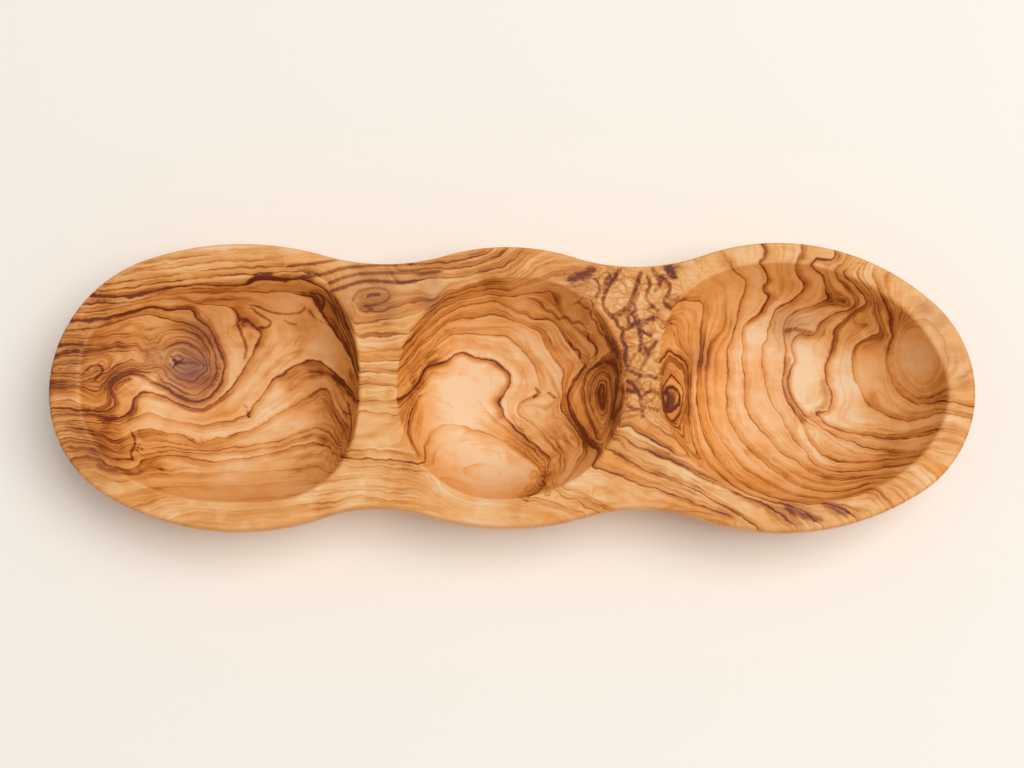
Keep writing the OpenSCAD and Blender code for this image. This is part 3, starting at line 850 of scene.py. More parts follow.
crowded_marks = {
    "pith crack upper arm": (1.3, 0.42, [(172, 357), (174, 360), (177, 362)]),
    "pith crack lower arm": (1.3, 0.42, [(177, 362), (175, 365), (174, 368)]),
    "pith crack right arm": (1.3, 0.42, [(177, 362), (179, 362), (182, 363)]),
    "dash by the island": (0.45, 0.45, [(285, 321), (291, 324), (296, 324)]),
    "crumpled corner": (0.55, 0.5, [
        (311, 293), (318, 294), (323, 298), (324, 304), (321, 311), (327, 318),
    ]),
    "crumpled corner in front": (0.45, 0.45, [(309, 310), (315, 318), (322, 322), (331, 327), (338, 336)]),
    "bark pocket": (0.8, 0.9, [(250, 282), (254, 279), (260, 277), (268, 277), (277, 279), (286, 281)]),
    "fork at the arch": (0.6, 0.5, [(243, 405), (247, 410), (249, 417)]),
    "fleck by the left front 1": (0.6, 0.5, [(142, 449), (144, 449)]),
    "fleck by the left front 2": (0.45, 0.6, [(159, 468), (164, 471)]),
    "fleck by the left front 3": (0.2, 0.6, [(98, 466), (106, 470), (116, 470)]),
    "blotch at the left": (0.3, 0.8, [(100, 420), (108, 421), (115, 418)]),
    "small eye on the land": (0.6, 0.5, [(368, 296), (373, 295), (379, 295)]),
    "fleck by the heart 1": (0.6, 0.45, [(535, 388), (539, 393), (534, 397)]),
    "fleck by the heart 2": (0.6, 0.45, [(549, 393), (555, 398)]),
    "blot left of the burl": (0.6, 1.2, [(571, 280), (576, 277), (581, 276), (587, 274), (592, 271)]),
    "burl vein 1": (0.62, 0.6, [
        (620, 269), (617, 274), (612, 280), (608, 287), (605, 294), (603, 301), (605, 309), (611, 316),
        (616, 320),
    ]),
    "burl vein 2": (0.45, 0.6, [(609, 274), (606, 282), (604, 291)]),
    "burl vein 3": (0.55, 0.6, [(611, 316), (619, 312), (627, 309), (631, 304), (634, 297)]),
    "burl vein 4": (0.62, 0.6, [
        (641, 272), (638, 282), (635, 291), (632, 299), (629, 308), (632, 314), (636, 321), (639, 330),
        (641, 340), (640, 351),
    ]),
    "burl vein 5": (0.5, 0.6, [(638, 294), (634, 304), (636, 314), (640, 325), (644, 332), (650, 335)]),
    "burl vein 6": (0.6, 0.6, [(616, 320), (619, 327), (625, 329), (631, 327), (635, 321)]),
    "burl vein 7": (0.45, 0.5, [(618, 315), (624, 316), (629, 319), (628, 325)]),
    "burl node": (0.65, 1.1, [(628, 309), (631, 312)]),
    "burl vein 8": (0.62, 0.6, [
        (662, 277), (668, 282), (670, 289), (667, 296), (664, 301), (667, 306), (671, 309),
    ]),
    "burl vein 9": (0.45, 0.65, [(652, 268), (656, 275), (660, 284), (655, 291)]),
    "burl vein 10": (0.58, 0.6, [(623, 330), (622, 340), (626, 347), (625, 360), (628, 367)]),
    "burl vein 11": (0.55, 0.55, [(626, 370), (633, 372), (641, 376), (650, 376), (658, 379)]),
    "burl vein 12": (0.58, 0.6, [(627, 381), (633, 384), (637, 391), (641, 398)]),
    "burl vein 13": (0.42, 0.6, [(641, 343), (648, 353), (645, 362), (641, 368)]),
    "burl vein 14": (0.42, 0.6, [(643, 354), (651, 348), (657, 340)]),
    "burl vein 15": (0.42, 0.7, [(642, 325), (650, 320), (656, 318)]),
    "burl vein 16": (0.42, 0.55, [(628, 390), (635, 393), (642, 395), (651, 391), (658, 393)]),
    "burl vein 17": (0.4, 0.55, [(640, 398), (642, 408), (643, 417)]),
    "burl vein 18": (0.38, 0.55, [(628, 406), (636, 409), (648, 408), (657, 410)]),
    "burl vein 19": (0.45, 0.5, [(596, 280), (600, 288), (596, 297)]),
    "burl vein 20": (0.45, 0.55, [(648, 276), (650, 286), (646, 296), (651, 305), (658, 310)]),
    "lip knot ring": (0.9, 0.6, [
        (667, 388), (673, 387), (679, 394), (679, 403), (673, 409), (667, 411), (664, 403), (664, 394),
        (667, 388),
    ]),
    "lip knot blot": (1.0, 0.9, [(667, 392), (669, 398), (667, 406)]),
    "smoky patch by the tongue": (0.55, 0.7, [(786, 331), (794, 329), (803, 331), (812, 333)]),
    "back edge of the burl": (0.9, 1.0, [(668, 269), (671, 272), (674, 277)]),
    "feather on the front rim 1": (0.45, 1.0, [(787, 507), (797, 513), (808, 517), (820, 519)]),
    "feather on the front rim 3": (0.22, 1.0, [(768, 509), (778, 517), (790, 524)]),
    "feather on the front rim 2": (0.4, 1.0, [(826, 505), (836, 509), (846, 514)]),
    "band by the tongue's right side": (0.35, 1.3, [
        (824, 382), (825, 392), (827, 400), (822, 408), (814, 414),
    ]),
    "band by the tongue's left side": (0.3, 1.3, [
        (787, 360), (788, 372), (787, 384), (789, 396), (795, 408), (803, 419),
    ]),
}
mark_step_px = 1
mark_far = 6
mark_fade = 3
mark_gap = np.full(len(points), float(mark_far))
mark_ink = np.zeros(len(points))
for group, sided in ((crowded_marks, False), (marks, True)):
    for darkness, half_width, places in group.values():
        path = np.array([on_dish(px, py) for px, py in smooth_path(places, mark_step_px)])
        reach = mark_far * half_width
        near = np.flatnonzero(((points > path.min(0) - reach) & (points < path.max(0) + reach)).all(1))
        away = points[near][:, None] - path
        gaps = np.linalg.norm(away, axis=2) / half_width
        nearest = gaps.argmin(1)
        rows = np.arange(len(near))
        gap = gaps[rows, nearest]
        turn = np.cross(np.gradient(path, axis=0)[nearest], away[rows, nearest])
        side = np.where((turn * normals[near]).sum(1) > 0, -1, 1) if sided else 1
        nearer = gap < np.abs(mark_gap[near])
        mark_gap[near[nearer]] = (gap * side)[nearer]
        mark_ink[near[nearer]] = darkness * np.clip(2 - gap / mark_fade, 0, 1)[nearer]

# Soft spots, where the wood is darker or paler, smoky round a knot, curled into burl, or striped. Some of the
# paler spots are painted light, on floors and walls that face the light
# Each is a place in the photograph's pixels, its reach in millimetres, and how much darker, smokier, curlier
# and more striped it is.
spots = {
    # Left hollow and left rim
    "main knot": (192, 368, 7, 0.22, 1.0, 0, -0.2),
    "purple round the knot": (185, 358, 15, 0, 0.2, 0, 0),
    "purple left of the pith": (153, 352, 5, 0, 0.3, 0, 0),
    "shade over the main knot": (197, 327, 5, 0.1, 0.4, 0, 0),
    "pale sweep under the knot": (165, 405, 11, -0.21, 0, 0, -0.2),
    "pale middle of the left floor": (248, 378, 9, -0.02, 0, 0, -0.4),
    # Painted light, together with the wood's own paler colour: the front of the floor faces the light and is
    # lighter
    "pale front of the left floor": (242, 462, 11, -0.17, 0, 0, -0.2),
    "pale floor at the front left": (285, 428, 9, -0.18, 0, 0, -0.3),
    "pale island": (283, 305, 6, -0.15, 0, 0, -0.4),
    "orange patch": (298, 340, 4, 0.12, 0, 0, 0),
    "orange strip": (267, 354, 4, 0.08, 0, 0, 0),
    "pale patch": (315, 344, 4, -0.08, 0, 0, 0),
    "pale strip": (277, 344, 4, -0.1, 0, 0, 0),
    "brown patch at the left": (92, 458, 10, 0.26, 0.22, 0, -0.4),
    "left edge in front": (68, 425, 7, 0.14, 0.05, 0, 0),
    "brown patch by the rim": (90, 460, 5, 0.08, 0, 0, -0.3),
    "left wall": (94, 360, 12, 0, 0.2, 0, 0.2),
    "left end": (60, 375, 9, 0.18, 0.14, 0, 0.5),
    "left rim at the back": (215, 259, 14, -0.16, 0, 0, 0),
    "left front rim": (250, 508, 16, 0.13, 0, 0, -1),
    "left front edge": (208, 522, 8, 0.13, 0, 0, -0.3),
    "left front wall": (250, 478, 14, 0, 0, 0, -0.7),
    "back wall left": (135, 294, 7, -0.1, 0, 0, 0.2),
    "back wall": (215, 293, 8, 0.26, 0, 0, 0.2),
    "back wall right": (268, 294, 8, 0.1, 0, 0, 0),
    "bark line": (264, 280, 4, 0.2, 0.1, 0, 0),
    "bark line right": (292, 281, 4, 0.12, 0, 0, 0),
    "back right corner": (328, 298, 6, 0.06, 0, 0, 0.2),
    "right wall": (345, 345, 8, 0.04, 0, 0, 0.2),
    "curly back of the left floor": (270, 316, 8, 0.08, 0, 0.1, -0.5),
    "curly right of the left floor": (303, 330, 7, 0.13, 0, 0.06, -0.5),
    "curly left front": (112, 440, 8, 0.05, 0, 0.15, 0),
    "under the arch": (300, 388, 8, 0.12, 0, 0, 0),
    "right wall in front": (340, 415, 7, 0.06, 0, 0, 0.2),
    # Left land, and the rim behind it
    "land at the back": (378, 300, 9, 0.2, 0.26, 0, -0.4),
    "rim behind the land": (362, 270, 8, 0.1, 0.14, 0, -1.2),
    "rim behind the corner": (338, 272, 8, 0, 0, 0, -1.2),
    "rim before the eye": (352, 290, 6, 0.06, 0.2, 0, -0.9),
    "rim by the middle lobe": (395, 275, 8, 0.08, 0.22, 0, -0.7),
    "purple smudge on the land": (427, 302, 4, 0.08, 0.4, 0, 0),
    "purple smudge behind it": (436, 281, 4, 0.08, 0.35, 0, 0),
    "land line at the back": (388, 312, 4, 0.05, 0.25, 0, 0),
    "left land": (378, 360, 9, 0.06, 0, 0, 0),
    "land in front": (378, 435, 7, -0.06, 0, 0, 0),
    # Middle hollow and its rim
    "heart's floor": (465, 392, 14, -0.32, 0, 0, -0.75),
    "heart's lower floor": (455, 445, 10, -0.26, 0, 0, -0.5),
    "heart's front": (485, 474, 10, -0.3, 0, 0, -0.5),
    "middle left wall": (410, 360, 7, -0.06, 0, 0, 0.2),
    # Painted light, together with the wood's own paler colour: these parts of the middle floor catch more
    # light and are lighter
    "heart's left": (432, 398, 8, -0.16, 0, 0, 0),
    "heart's front left": (438, 488, 9, -0.18, 0, 0, 0),
    "heart's front right": (532, 474, 9, -0.16, 0, 0, 0),
    "middle back wall": (500, 288, 8, -0.1, 0, 0, 0.3),
    "heart's shells": (450, 320, 10, -0.1, 0, 0, 0.2),
    "heart's shells at the right": (525, 335, 10, -0.12, 0, 0, 0),
    "middle back wall right": (552, 293, 6, 0.2, 0.05, 0, 0),
    "middle right wall": (600, 330, 7, 0.1, 0, 0, 0),
    "curls on the middle hollow's wall": (574, 311, 7, 0.1, 0, 0, 0),
    "middle right lip": (614, 360, 6, 0.18, 0.05, 0, 0),
    "wall knot": (602, 396, 7, 0.18, 0.05, 0, 0.3),
    "wall knot's far side": (614, 415, 6, 0.18, 0.05, 0, 0),
    "middle front right": (572, 452, 7, 0.04, 0, 0, 0.3),
    "front rim of the middle": (490, 514, 14, -0.08, 0, 0, -0.6),
    "front rim right of the middle": (568, 508, 9, -0.13, 0, 0, 0),
    "rim behind the middle": (480, 266, 9, 0.13, 0.05, 0, 0.2),
    # Burl on the right land
    "burl by the middle hollow": (580, 278, 6, 0.18, 0.3, 0.5, -0.3),
    "burl 1": (612, 280, 9, 0.01, 0.08, 0.8, -0.6),
    "burl 2": (640, 300, 9, 0.01, 0.08, 0.8, -0.6),
    "burl 3": (640, 335, 9, 0.01, 0.08, 0.9, -0.6),
    "burl 4": (642, 372, 9, 0.01, 0.08, 0.9, -0.6),
    "burl 5": (642, 402, 7, 0, 0, 0.7, -0.6),
    "burl 6": (672, 282, 8, 0, 0, 0.6, -0.6),
    "burl at the back edge": (670, 266, 3, 0.3, 0.6, 1, 0),
    "burl in front of the edge": (700, 262, 8, -0.05, 0, 0.3, -0.3),
    "rim behind the right hollow": (738, 256, 7, 0.11, 0, 0, 0),
    "burl on the middle hollow's wall": (588, 312, 6, 0, 0, 0.25, -0.3),
    "burl on the right hollow's wall": (715, 285, 7, -0.02, 0, 0.12, -0.5),
    # Right hollow and right rim
    "lip knot core": (670, 399, 3.5, 0.25, 0.6, 0, 0),
    "lip knot wall": (680, 425, 7, 0.02, 0, 0, 0.4),
    "purple streak": (700, 355, 5, 0.08, 0.35, 0, 0),
    "smoky patch by the tongue": (789, 326, 6, 0.1, 0.45, 0, 0),
    "brown over the tongue": (812, 320, 6, 0.12, 0.12, 0, 0),
    "right back wall left": (745, 288, 8, 0.1, 0, 0, -0.4),
    "right back wall": (790, 283, 9, 0.14, 0, 0, -0.4),
    "red patch": (838, 296, 5, 0.24, 0.02, 0, 0),
    "red patch's tail": (862, 318, 6, 0.12, 0, 0, 0),
    "right of the red patch": (875, 325, 6, 0.1, 0, 0, 0),
    "pale tongue": (806, 372, 9, -0.3, 0, 0, -0.7),
    "pale middle": (758, 350, 9, -0.18, 0, 0, -0.2),
    "pale floor right": (768, 402, 9, -0.12, 0, 0, -0.2),
    "pale by the arcs": (735, 392, 7, -0.12, 0, 0, -0.2),
    # Painted light, together with the wood's own paler colour: the floor and the front wall of the right
    # hollow face the light and are lighter
    "pale left of the arcs": (702, 388, 12, -0.14, 0, 0, 0),
    "pale under the arcs": (722, 446, 11, -0.17, 0, 0, 0),
    "pale front floor": (800, 462, 11, -0.17, 0, 0, 0),
    "pale front wall": (852, 470, 8, -0.16, 0, 0, 0),
    "brown right of the tongue": (827, 380, 4, 0.13, 0, 0, 0),
    "pale foot of the tongue": (848, 418, 8, -0.22, 0, 0, -0.2),
    "pale band": (864, 378, 7, -0.2, 0, 0, -0.4),
    "grey oval": (915, 355, 8, -0.28, 0.08, 0, -0.9),
    "brown over the oval": (904, 317, 4, 0.12, 0, 0, 0),
    "right front wall": (904, 408, 7, -0.15, 0, 0, 0),
    "right rim": (945, 330, 10, 0.04, 0, 0, -0.8),
    "right rim in front": (966, 385, 8, -0.1, 0, 0, -0.2),
    "purple on the right rim 1": (927, 307, 3, 0.14, 0.4, 0, 0),
    "purple on the right rim 2": (939, 324, 3, 0.12, 0.3, 0, 0),
    "purple on the right rim 3": (952, 357, 4, 0.12, 0.2, 0, 0),
    "purple on the right rim 4": (965, 381, 3, 0.1, 0.25, 0, 0),
    # Front of the right hollow, and the front rim
    "front wall": (825, 486, 10, 0.2, 0, 0, 0.5),
    "front wall left": (740, 478, 8, 0.1, 0, 0, 0.3),
    "front wall right": (885, 460, 8, 0.08, 0, 0, 0.3),
    "right front rim": (740, 512, 12, 0, 0, 0, 0.2),
    "feather on the front rim": (800, 516, 7, 0.08, 0.2, 0, 0.3),
    "feather on the front rim right": (837, 508, 3, 0.1, 0.35, 0, 0),
    "front land": (652, 442, 9, 0.07, 0.1, 0, 0.5),
    "front land's tail": (695, 478, 9, 0.03, 0.05, 0, 0.4),
}
shades = np.zeros((len(points), 4))
for px, py, reach, *amounts in spots.values():
    near = np.exp(-((points - np.array(on_dish(px, py))) ** 2).sum(1) / reach**2)
    shades += near[:, None] * amounts

# The grain runs along the board, so walls that face along it are end grain, which is darker with the oil. The
# same darkening also stands in for the shade on the walls inside the hollows: painted shade
end_grain_and_painted_shade = 0.25
shades[:, 0] += end_grain_and_painted_shade * np.abs(normals[:, 0])

# The rounded lips carry a painted highlight: they are made a little paler than the wood beside them
lip_painted_highlight = 0.09
lip_reach = 0.45 * lip_round
on_lip = np.abs(points[:, 2] - board_h + lip_round / 2) < lip_reach
shades[:, 0] -= lip_painted_highlight * on_lip

# Where the photograph doesn't reach, on the side wall and underneath, the layers have veins of their own
last_seen = 0.2
unseen_fade = 0.3
towards_camera = np.array(camera_place) / mm - points
towards_camera /= np.linalg.norm(towards_camera, axis=1)[:, None]
facing_camera = (towards_camera * normals).sum(1)
unseen_share = np.clip((last_seen - facing_camera) / unseen_fade, 0, 1)

# How steep the visible wood is: a surface is level while its normal points up by this much
level = 0.95
steep_fade = 0.5
# The steep share also places the painted bounce light on the walls inside the hollows
steep_share = (1 - unseen_share) * np.clip((level - normals[:, 2]) / steep_fade, 0, 1)

wood_values = {
    "layer": layer_values,
    "slope": layer_slopes,
    "vein": vein_values,
    "glow": glow_values,
    "mark": mark_gap,
    "ink": mark_ink,
    "tone": shades[:, 0],
    "smoke": np.clip(shades[:, 1], 0, 1),
    "burl": np.clip(shades[:, 2], 0, 1),
    "stripe": np.clip(1 + shades[:, 3], 0, 2),
    "unseen": unseen_share,
    "steep": steep_share,
}
for name, values in wood_values.items():
    dish.data.attributes.new(name, "FLOAT", "POINT").data.foreach_set("value", values.astype(np.float32))

# Olive wood, sanded and rubbed with oil: honey coloured with dark brown veins and a soft, low gloss.
# All its patterns are worked out from real sizes in millimetres.


def linear(code):
    """An sRGB hex colour as linear red, green, blue and alpha."""
    parts = [int(code[i : i + 2], 16) / 255 for i in (1, 3, 5)]
    return (*[c / 12.92 if c <= 0.04045 else ((c + 0.055) / 1.055) ** 2.4 for c in parts], 1)


def add_node(tree, kind, links=None, **settings):
    """Adds a node, sets it up, and feeds its inputs with values or with the outputs of other nodes."""
    made = tree.nodes.new("ShaderNode" + kind)
    for name, value in settings.items():
        setattr(made, name, value)
    for socket, value in (links or {}).items():
        if isinstance(value, bpy.types.Node):
            value = value.outputs[0]
        if isinstance(value, bpy.types.NodeSocket):
            tree.links.new(value, made.inputs[socket])
        else:
            made.inputs[socket].default_value = value
    return made


swell_mm = 8
vein_least_mm, vein_growth_mm = 0.25, 0.66
halo_start_mm, halo_end_mm = 0.6, 3.4
band_mm = 40
layer_spread_mm = 100
streak_mm, thread_mm = 22, 30
patch_mm, facet_mm = 18, 7
ripple_mm = (14, 2.4, 2.4)
curl_mm = 6
curl_shift_mm = (7, 6, 4)

# Real fibres are far finer; these are as coarse as they need to be to show
fibre_mm = (8, 0.6, 0.6)
groove_mm = 0.1

olive_wood = bpy.data.materials.new("olive_wood_oiled")
olive_wood.use_nodes = True
tree = olive_wood.node_tree
shader = tree.nodes["Principled BSDF"]

layer, slope, vein, glow, mark, ink, tone, smoke, burl, stripe, unseen, steep = (
    add_node(tree, "Attribute", attribute_name=name).outputs["Fac"] for name in wood_values
)
position = add_node(tree, "TexCoord").outputs["Object"]

# The lines waver: a slow sway, kinks, and a fine jitter that gives them their broken edge
wavering = layer
for size_mm, most_mm in ((9, 0.5), (3.2, 0.32), (1.1, 0.09)):
    jitter = add_node(tree, "TexNoise", {"Vector": position, "Scale": 1 / (size_mm * mm), "Detail": 1})
    shift = add_node(
        tree,
        "MapRange",
        {"Value": jitter, "From Min": 0.25, "From Max": 0.75, "To Min": -most_mm, "To Max": most_mm},
    )
    wavering = add_node(tree, "Math", {0: shift, 1: slope, 2: wavering}, operation="MULTIPLY_ADD")

# Distance in millimetres to the vein above and the vein below
into_layer = add_node(tree, "Math", {0: wavering}, operation="FRACT")
left_of_layer = add_node(tree, "Math", {0: 1.0, 1: into_layer}, operation="SUBTRACT")
from_above = add_node(tree, "Math", {0: left_of_layer, 1: slope}, operation="DIVIDE")
from_below = add_node(tree, "Math", {0: into_layer, 1: slope}, operation="DIVIDE")
from_vein = add_node(tree, "Math", {0: from_above, 1: from_below}, operation="MINIMUM")

# Veins fade and swell along their length; the unseen sides have veins of random strength
number = add_node(tree, "Math", {0: wavering}, operation="ROUND")
own = add_node(tree, "TexWhiteNoise", {"W": number}, noise_dimensions="1D")
wild = add_node(tree, "Math", {0: own, 1: unseen}, operation="MULTIPLY")
swell = add_node(tree, "TexNoise", {"Vector": position, "Scale": 1 / (swell_mm * mm), "Detail": 2})
swelling = add_node(
    tree, "MapRange", {"Value": swell, "From Min": 0.35, "From Max": 0.58, "To Min": 0.55, "To Max": 1.15}
)
drawn = add_node(tree, "Math", {0: vein, 1: wild}, operation="MAXIMUM")
strength = add_node(tree, "Math", {0: drawn, 1: swelling}, operation="MULTIPLY")
vein_width = add_node(
    tree, "Math", {0: strength, 1: vein_growth_mm, 2: vein_least_mm}, operation="MULTIPLY_ADD"
)
core = add_node(
    tree,
    "MapRange",
    {"Value": from_vein, "From Min": 0.0, "From Max": vein_width, "To Min": 1.0, "To Max": 0.0},
    interpolation_type="SMOOTHSTEP",
)
vein_dark = add_node(tree, "Math", {0: core, 1: strength}, operation="MULTIPLY")
halo = add_node(
    tree,
    "MapRange",
    {"Value": from_above, "From Min": halo_start_mm, "From Max": halo_end_mm, "To Min": 1.0, "To Max": 0.0},
    interpolation_type="SMOOTHSTEP",
)
halo_dark = add_node(tree, "Math", {0: halo, 1: glow}, operation="MULTIPLY")

# The bands between the veins differ: some are pale, others darker and more amber
band = add_node(tree, "Math", {0: wavering}, operation="FLOOR")
bands = add_node(
    tree,
    "TexNoise",
    {"Vector": position, "W": band, "Scale": 1 / (band_mm * mm), "Detail": 1},
    noise_dimensions="4D",
)
band_tone = add_node(
    tree, "MapRange", {"Value": bands, "From Min": 0.3, "From Max": 0.7, "To Min": -1.0, "To Max": 1.0}
)
band_dark = add_node(tree, "Math", {0: band_tone, 1: stripe}, operation="MULTIPLY")

# Streaks and fine lines that follow the layers: noise that changes fast across them and slowly along them
across = add_node(tree, "Math", {0: wavering, 1: layer_spread_mm * mm}, operation="MULTIPLY")
axes = add_node(tree, "SeparateXYZ", {"Vector": position})
flow = add_node(tree, "CombineXYZ", {"X": axes.outputs["X"], "Y": axes.outputs["Y"], "Z": across})
streaks = add_node(
    tree, "TexNoise", {"Vector": flow, "Scale": 1 / (streak_mm * mm), "Detail": 4, "Roughness": 0.6}
)
streak_dark = add_node(
    tree, "MapRange", {"Value": streaks, "From Min": 0.46, "From Max": 0.76, "To Min": 0.0, "To Max": 1.0}
)
threads = add_node(tree, "TexNoise", {"Vector": flow, "Scale": 1 / (thread_mm * mm), "Detail": 1})
thread_gap = add_node(tree, "Math", {0: threads, 1: 0.5}, operation="SUBTRACT")
thread_near = add_node(tree, "Math", {0: thread_gap}, operation="ABSOLUTE")
thread_dark = add_node(
    tree, "MapRange", {"Value": thread_near, "From Min": 0.0, "From Max": 0.06, "To Min": 1.0, "To Max": 0.0}
)
grain = add_node(tree, "Math", {0: thread_dark, 1: 0.42, 2: streak_dark}, operation="MULTIPLY_ADD")
grain_dark = add_node(tree, "Math", {0: grain, 1: stripe}, operation="MULTIPLY")

# Cloudy patches, soft ripples across the board, and the fibres themselves
patches = add_node(tree, "TexNoise", {"Vector": position, "Scale": 1 / (patch_mm * mm), "Detail": 3})
figure = add_node(tree, "TexNoise", {"Vector": position, "Scale": 1 / (facet_mm * mm), "Detail": 1})
facets = add_node(
    tree, "MapRange", {"Value": figure, "From Min": 0.42, "From Max": 0.58, "To Min": 0.0, "To Max": 1.0}
)
ripple_place = add_node(
    tree, "Mapping", {"Vector": position, "Scale": [1 / (length * mm) for length in ripple_mm]}
)
ripples = add_node(tree, "TexNoise", {"Vector": ripple_place, "Scale": 1.0, "Detail": 2, "Distortion": 0.6})
fibre_place = add_node(
    tree, "Mapping", {"Vector": position, "Scale": [1 / (length * mm) for length in fibre_mm]}
)
fibres = add_node(tree, "TexNoise", {"Vector": fibre_place, "Scale": 1.0, "Detail": 2})
breaking = add_node(
    tree, "MapRange", {"Value": streaks, "From Min": 0.3, "From Max": 0.7, "To Min": 0.4, "To Max": 1.6}
)

# Burl: curled fibres in small cells with brown outlines, and a finer crackle between
curl = add_node(tree, "TexNoise", {"Vector": position, "Scale": 1 / (curl_mm * mm), "Detail": 1})
curled = add_node(
    tree,
    "VectorMath",
    {0: curl.outputs["Color"], 1: [length * mm for length in curl_shift_mm], 2: position},
    operation="MULTIPLY_ADD",
)
outlines = []
for cell_mm, blur, most in (((5.0, 4.4, 5.0), 0.15, 0.6), ((2.5, 1.8, 2.0), 0.2, 0.42)):
    cell_place = add_node(
        tree, "Mapping", {"Vector": curled, "Scale": [1 / (length * mm) for length in cell_mm]}
    )
    burl_cells = add_node(
        tree, "TexVoronoi", {"Vector": cell_place, "Scale": 1.0}, feature="DISTANCE_TO_EDGE"
    )
    outlines.append(
        add_node(
            tree,
            "MapRange",
            {"Value": burl_cells, "From Min": 0.0, "From Max": blur, "To Min": most, "To Max": 0.0},
            interpolation_type="SMOOTHSTEP",
        )
    )
burl_outline = add_node(tree, "Math", {0: outlines[0], 1: outlines[1]}, operation="MAXIMUM")
burl_part = add_node(tree, "Math", {0: burl_outline, 1: burl}, operation="MULTIPLY")
burl_dark = add_node(tree, "Math", {0: burl_part, 1: swelling}, operation="MULTIPLY")

# Marks: each a stroke with soft edges, made ragged by the finest jitter of the lines
ragged = add_node(
    tree, "MapRange", {"Value": jitter, "From Min": 0.25, "From Max": 0.75, "To Min": -0.3, "To Max": 0.3}
)
from_mark = add_node(tree, "Math", {0: mark}, operation="ABSOLUTE")
from_stroke = add_node(tree, "Math", {0: from_mark, 1: ragged}, operation="ADD")
stroke = add_node(
    tree,
    "MapRange",
    {"Value": from_stroke, "From Min": 0.4, "From Max": 1.7, "To Min": 1.0, "To Max": 0.0},
    interpolation_type="SMOOTHSTEP",
)
mark_dark = add_node(tree, "Math", {0: stroke, 1: ink}, operation="MULTIPLY")

# All that darkens the wood moves it along one row of colours, from honey through orange to dark brown:
# how much each adds, what it is, and where it starts from
shade = add_node(tree, "Math", {0: tone, 1: breaking}, operation="MULTIPLY")
for amount, source, base in (
    (0.6, patches, -0.3),
    (0.12, band_dark, 0),
    (0.1, facets, -0.05),
    (0.2, ripples, -0.1),
    (0.14, fibres, -0.07),
    (0.36, grain_dark, 0),
    (0.55, halo_dark, 0.2),
    (0.74, vein_dark, 0),
    (0.7, burl_dark, 0),
    (0.8, mark_dark, 0),
):
    raised = add_node(tree, "Math", {0: source, 1: amount, 2: base}, operation="MULTIPLY_ADD")
    shade = add_node(tree, "Math", {0: shade, 1: raised}, operation="ADD")

wood_colours = add_node(tree, "ValToRGB", {"Fac": shade})
ramp = wood_colours.color_ramp
ramp.elements[0].position, ramp.elements[0].color = 0.0, linear("#F3CFA4")
ramp.elements[1].position, ramp.elements[1].color = 1.0, linear("#6E2B0A")
for stop, code in ((0.12, "#F1BE88"), (0.3, "#EAAA69"), (0.5, "#D88E49"), (0.72, "#B46628")):
    ramp.elements.new(stop).color = linear(code)

# Some of the bands glow amber where they are pale, a colour of the wood. On the steep walls inside the
# hollows the same amber is painted light: warm light bounced between the walls
paleness = add_node(tree, "Math", {0: shade, 1: -0.55, 2: 0.6}, operation="MULTIPLY_ADD", use_clamp=True)
pale_bands_and_painted_bounce = add_node(tree, "Math", {0: steep, 1: band_dark}, operation="MAXIMUM", use_clamp=True)
amber_and_painted_bounce = add_node(tree, "Math", {0: paleness, 1: pale_bands_and_painted_bounce}, operation="MULTIPLY")
amber = add_node(tree, "Mix", {0: amber_and_painted_bounce, 6: wood_colours, 7: linear("#F2983A")}, data_type="RGBA")

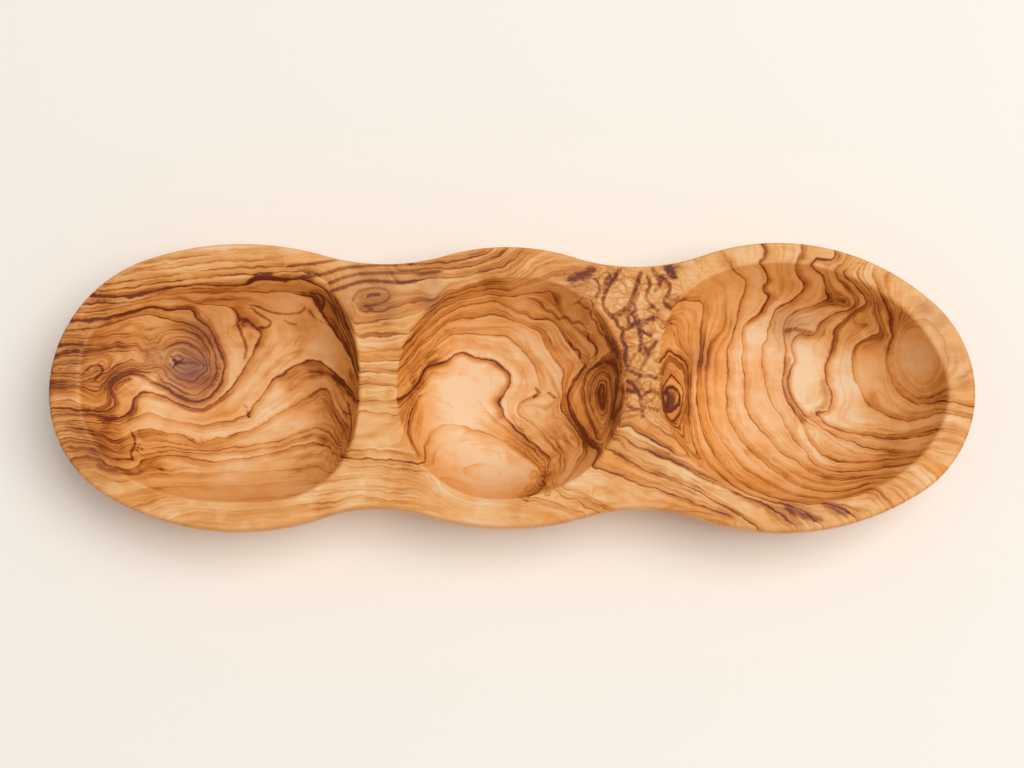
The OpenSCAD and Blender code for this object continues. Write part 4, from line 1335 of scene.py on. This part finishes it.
# Smoke lies round the knots, and a hint of it in the lines where the wood lies open
lines_dark = add_node(tree, "Math", {0: vein_dark, 1: mark_dark}, operation="ADD")
open_wood = add_node(tree, "Math", {0: 1.0, 1: steep}, operation="SUBTRACT")
open_lines = add_node(tree, "Math", {0: lines_dark, 1: open_wood}, operation="MULTIPLY")
smokiness = add_node(
    tree, "Math", {0: open_lines, 1: 0.45, 2: smoke}, operation="MULTIPLY_ADD", use_clamp=True
)
smoke_part = add_node(tree, "Math", {0: smokiness, 1: 0.7}, operation="MULTIPLY")
smoky = add_node(
    tree, "Mix", {0: smoke_part, 6: amber.outputs[2], 7: linear("#7A4C44")}, data_type="RGBA"
)
blackened = add_node(
    tree, "MapRange", {"Value": mark_dark, "From Min": 0.75, "From Max": 1.15, "To Min": 0.0, "To Max": 0.8}
)
marked = add_node(
    tree, "Mix", {0: blackened, 6: smoky.outputs[2], 7: linear("#35180E")}, data_type="RGBA"
)

# The open grain keeps a little less of the oil: duller along the fibres, and felt as fine grooves
gloss = add_node(
    tree, "MapRange", {"Value": fibres, "From Min": 0.3, "From Max": 0.7, "To Min": 0.4, "To Max": 0.54}
)
grooves = add_node(tree, "Bump", {"Strength": 0.12, "Distance": groove_mm * mm, "Height": fibres})
tree.links.new(marked.outputs[2], shader.inputs["Base Color"])
shader.inputs["Specular IOR Level"].default_value = 0.14
tree.links.new(gloss.outputs[0], shader.inputs["Roughness"])
tree.links.new(grooves.outputs[0], shader.inputs["Normal"])
dish.data.materials.clear()
dish.data.materials.append(olive_wood)

# The ground: a plain table top without a visible edge, covered with pale, matt paper.
# The dish stands on it, and its soft shadow falls there.
ground_side = 6
bpy.ops.object.select_all(action="DESELECT")
bpy.ops.mesh.primitive_plane_add(size=ground_side)
ground = bpy.context.object
ground.name = "ground"
ground_paper = bpy.data.materials.new("matt_cream_paper")
ground_paper.use_nodes = True
paper = ground_paper.node_tree.nodes["Principled BSDF"]
paper.inputs["Base Color"].default_value = linear("#FDF6EB")
paper.inputs["Roughness"].default_value = 0.9
ground.data.materials.append(ground_paper)

# The light: one large soft window, high at the right and a little behind the dish.
# The pale room around it fills the shadows.
window_side = 1.8
window_watts = 46
window_place = Vector((1.0, 0.2, 2.4))
room_strength = 0.42
bpy.context.scene.view_settings.view_transform = "Standard"
window_data = bpy.data.lights.new("soft_window", "AREA")
window_data.shape = "SQUARE"
window_data.size = window_side
window_data.energy = window_watts
window = bpy.data.objects.new("soft_window", window_data)
window.location = window_place
window.rotation_euler = (-window_place).to_track_quat("-Z", "Y").to_euler()
bpy.context.scene.collection.objects.link(window)

room = bpy.data.worlds.new("pale_room")
room.use_nodes = True
glow_of_room = room.node_tree.nodes["Background"]
glow_of_room.inputs["Color"].default_value = linear("#FFFFFF")
glow_of_room.inputs["Strength"].default_value = room_strength
bpy.context.scene.world = room
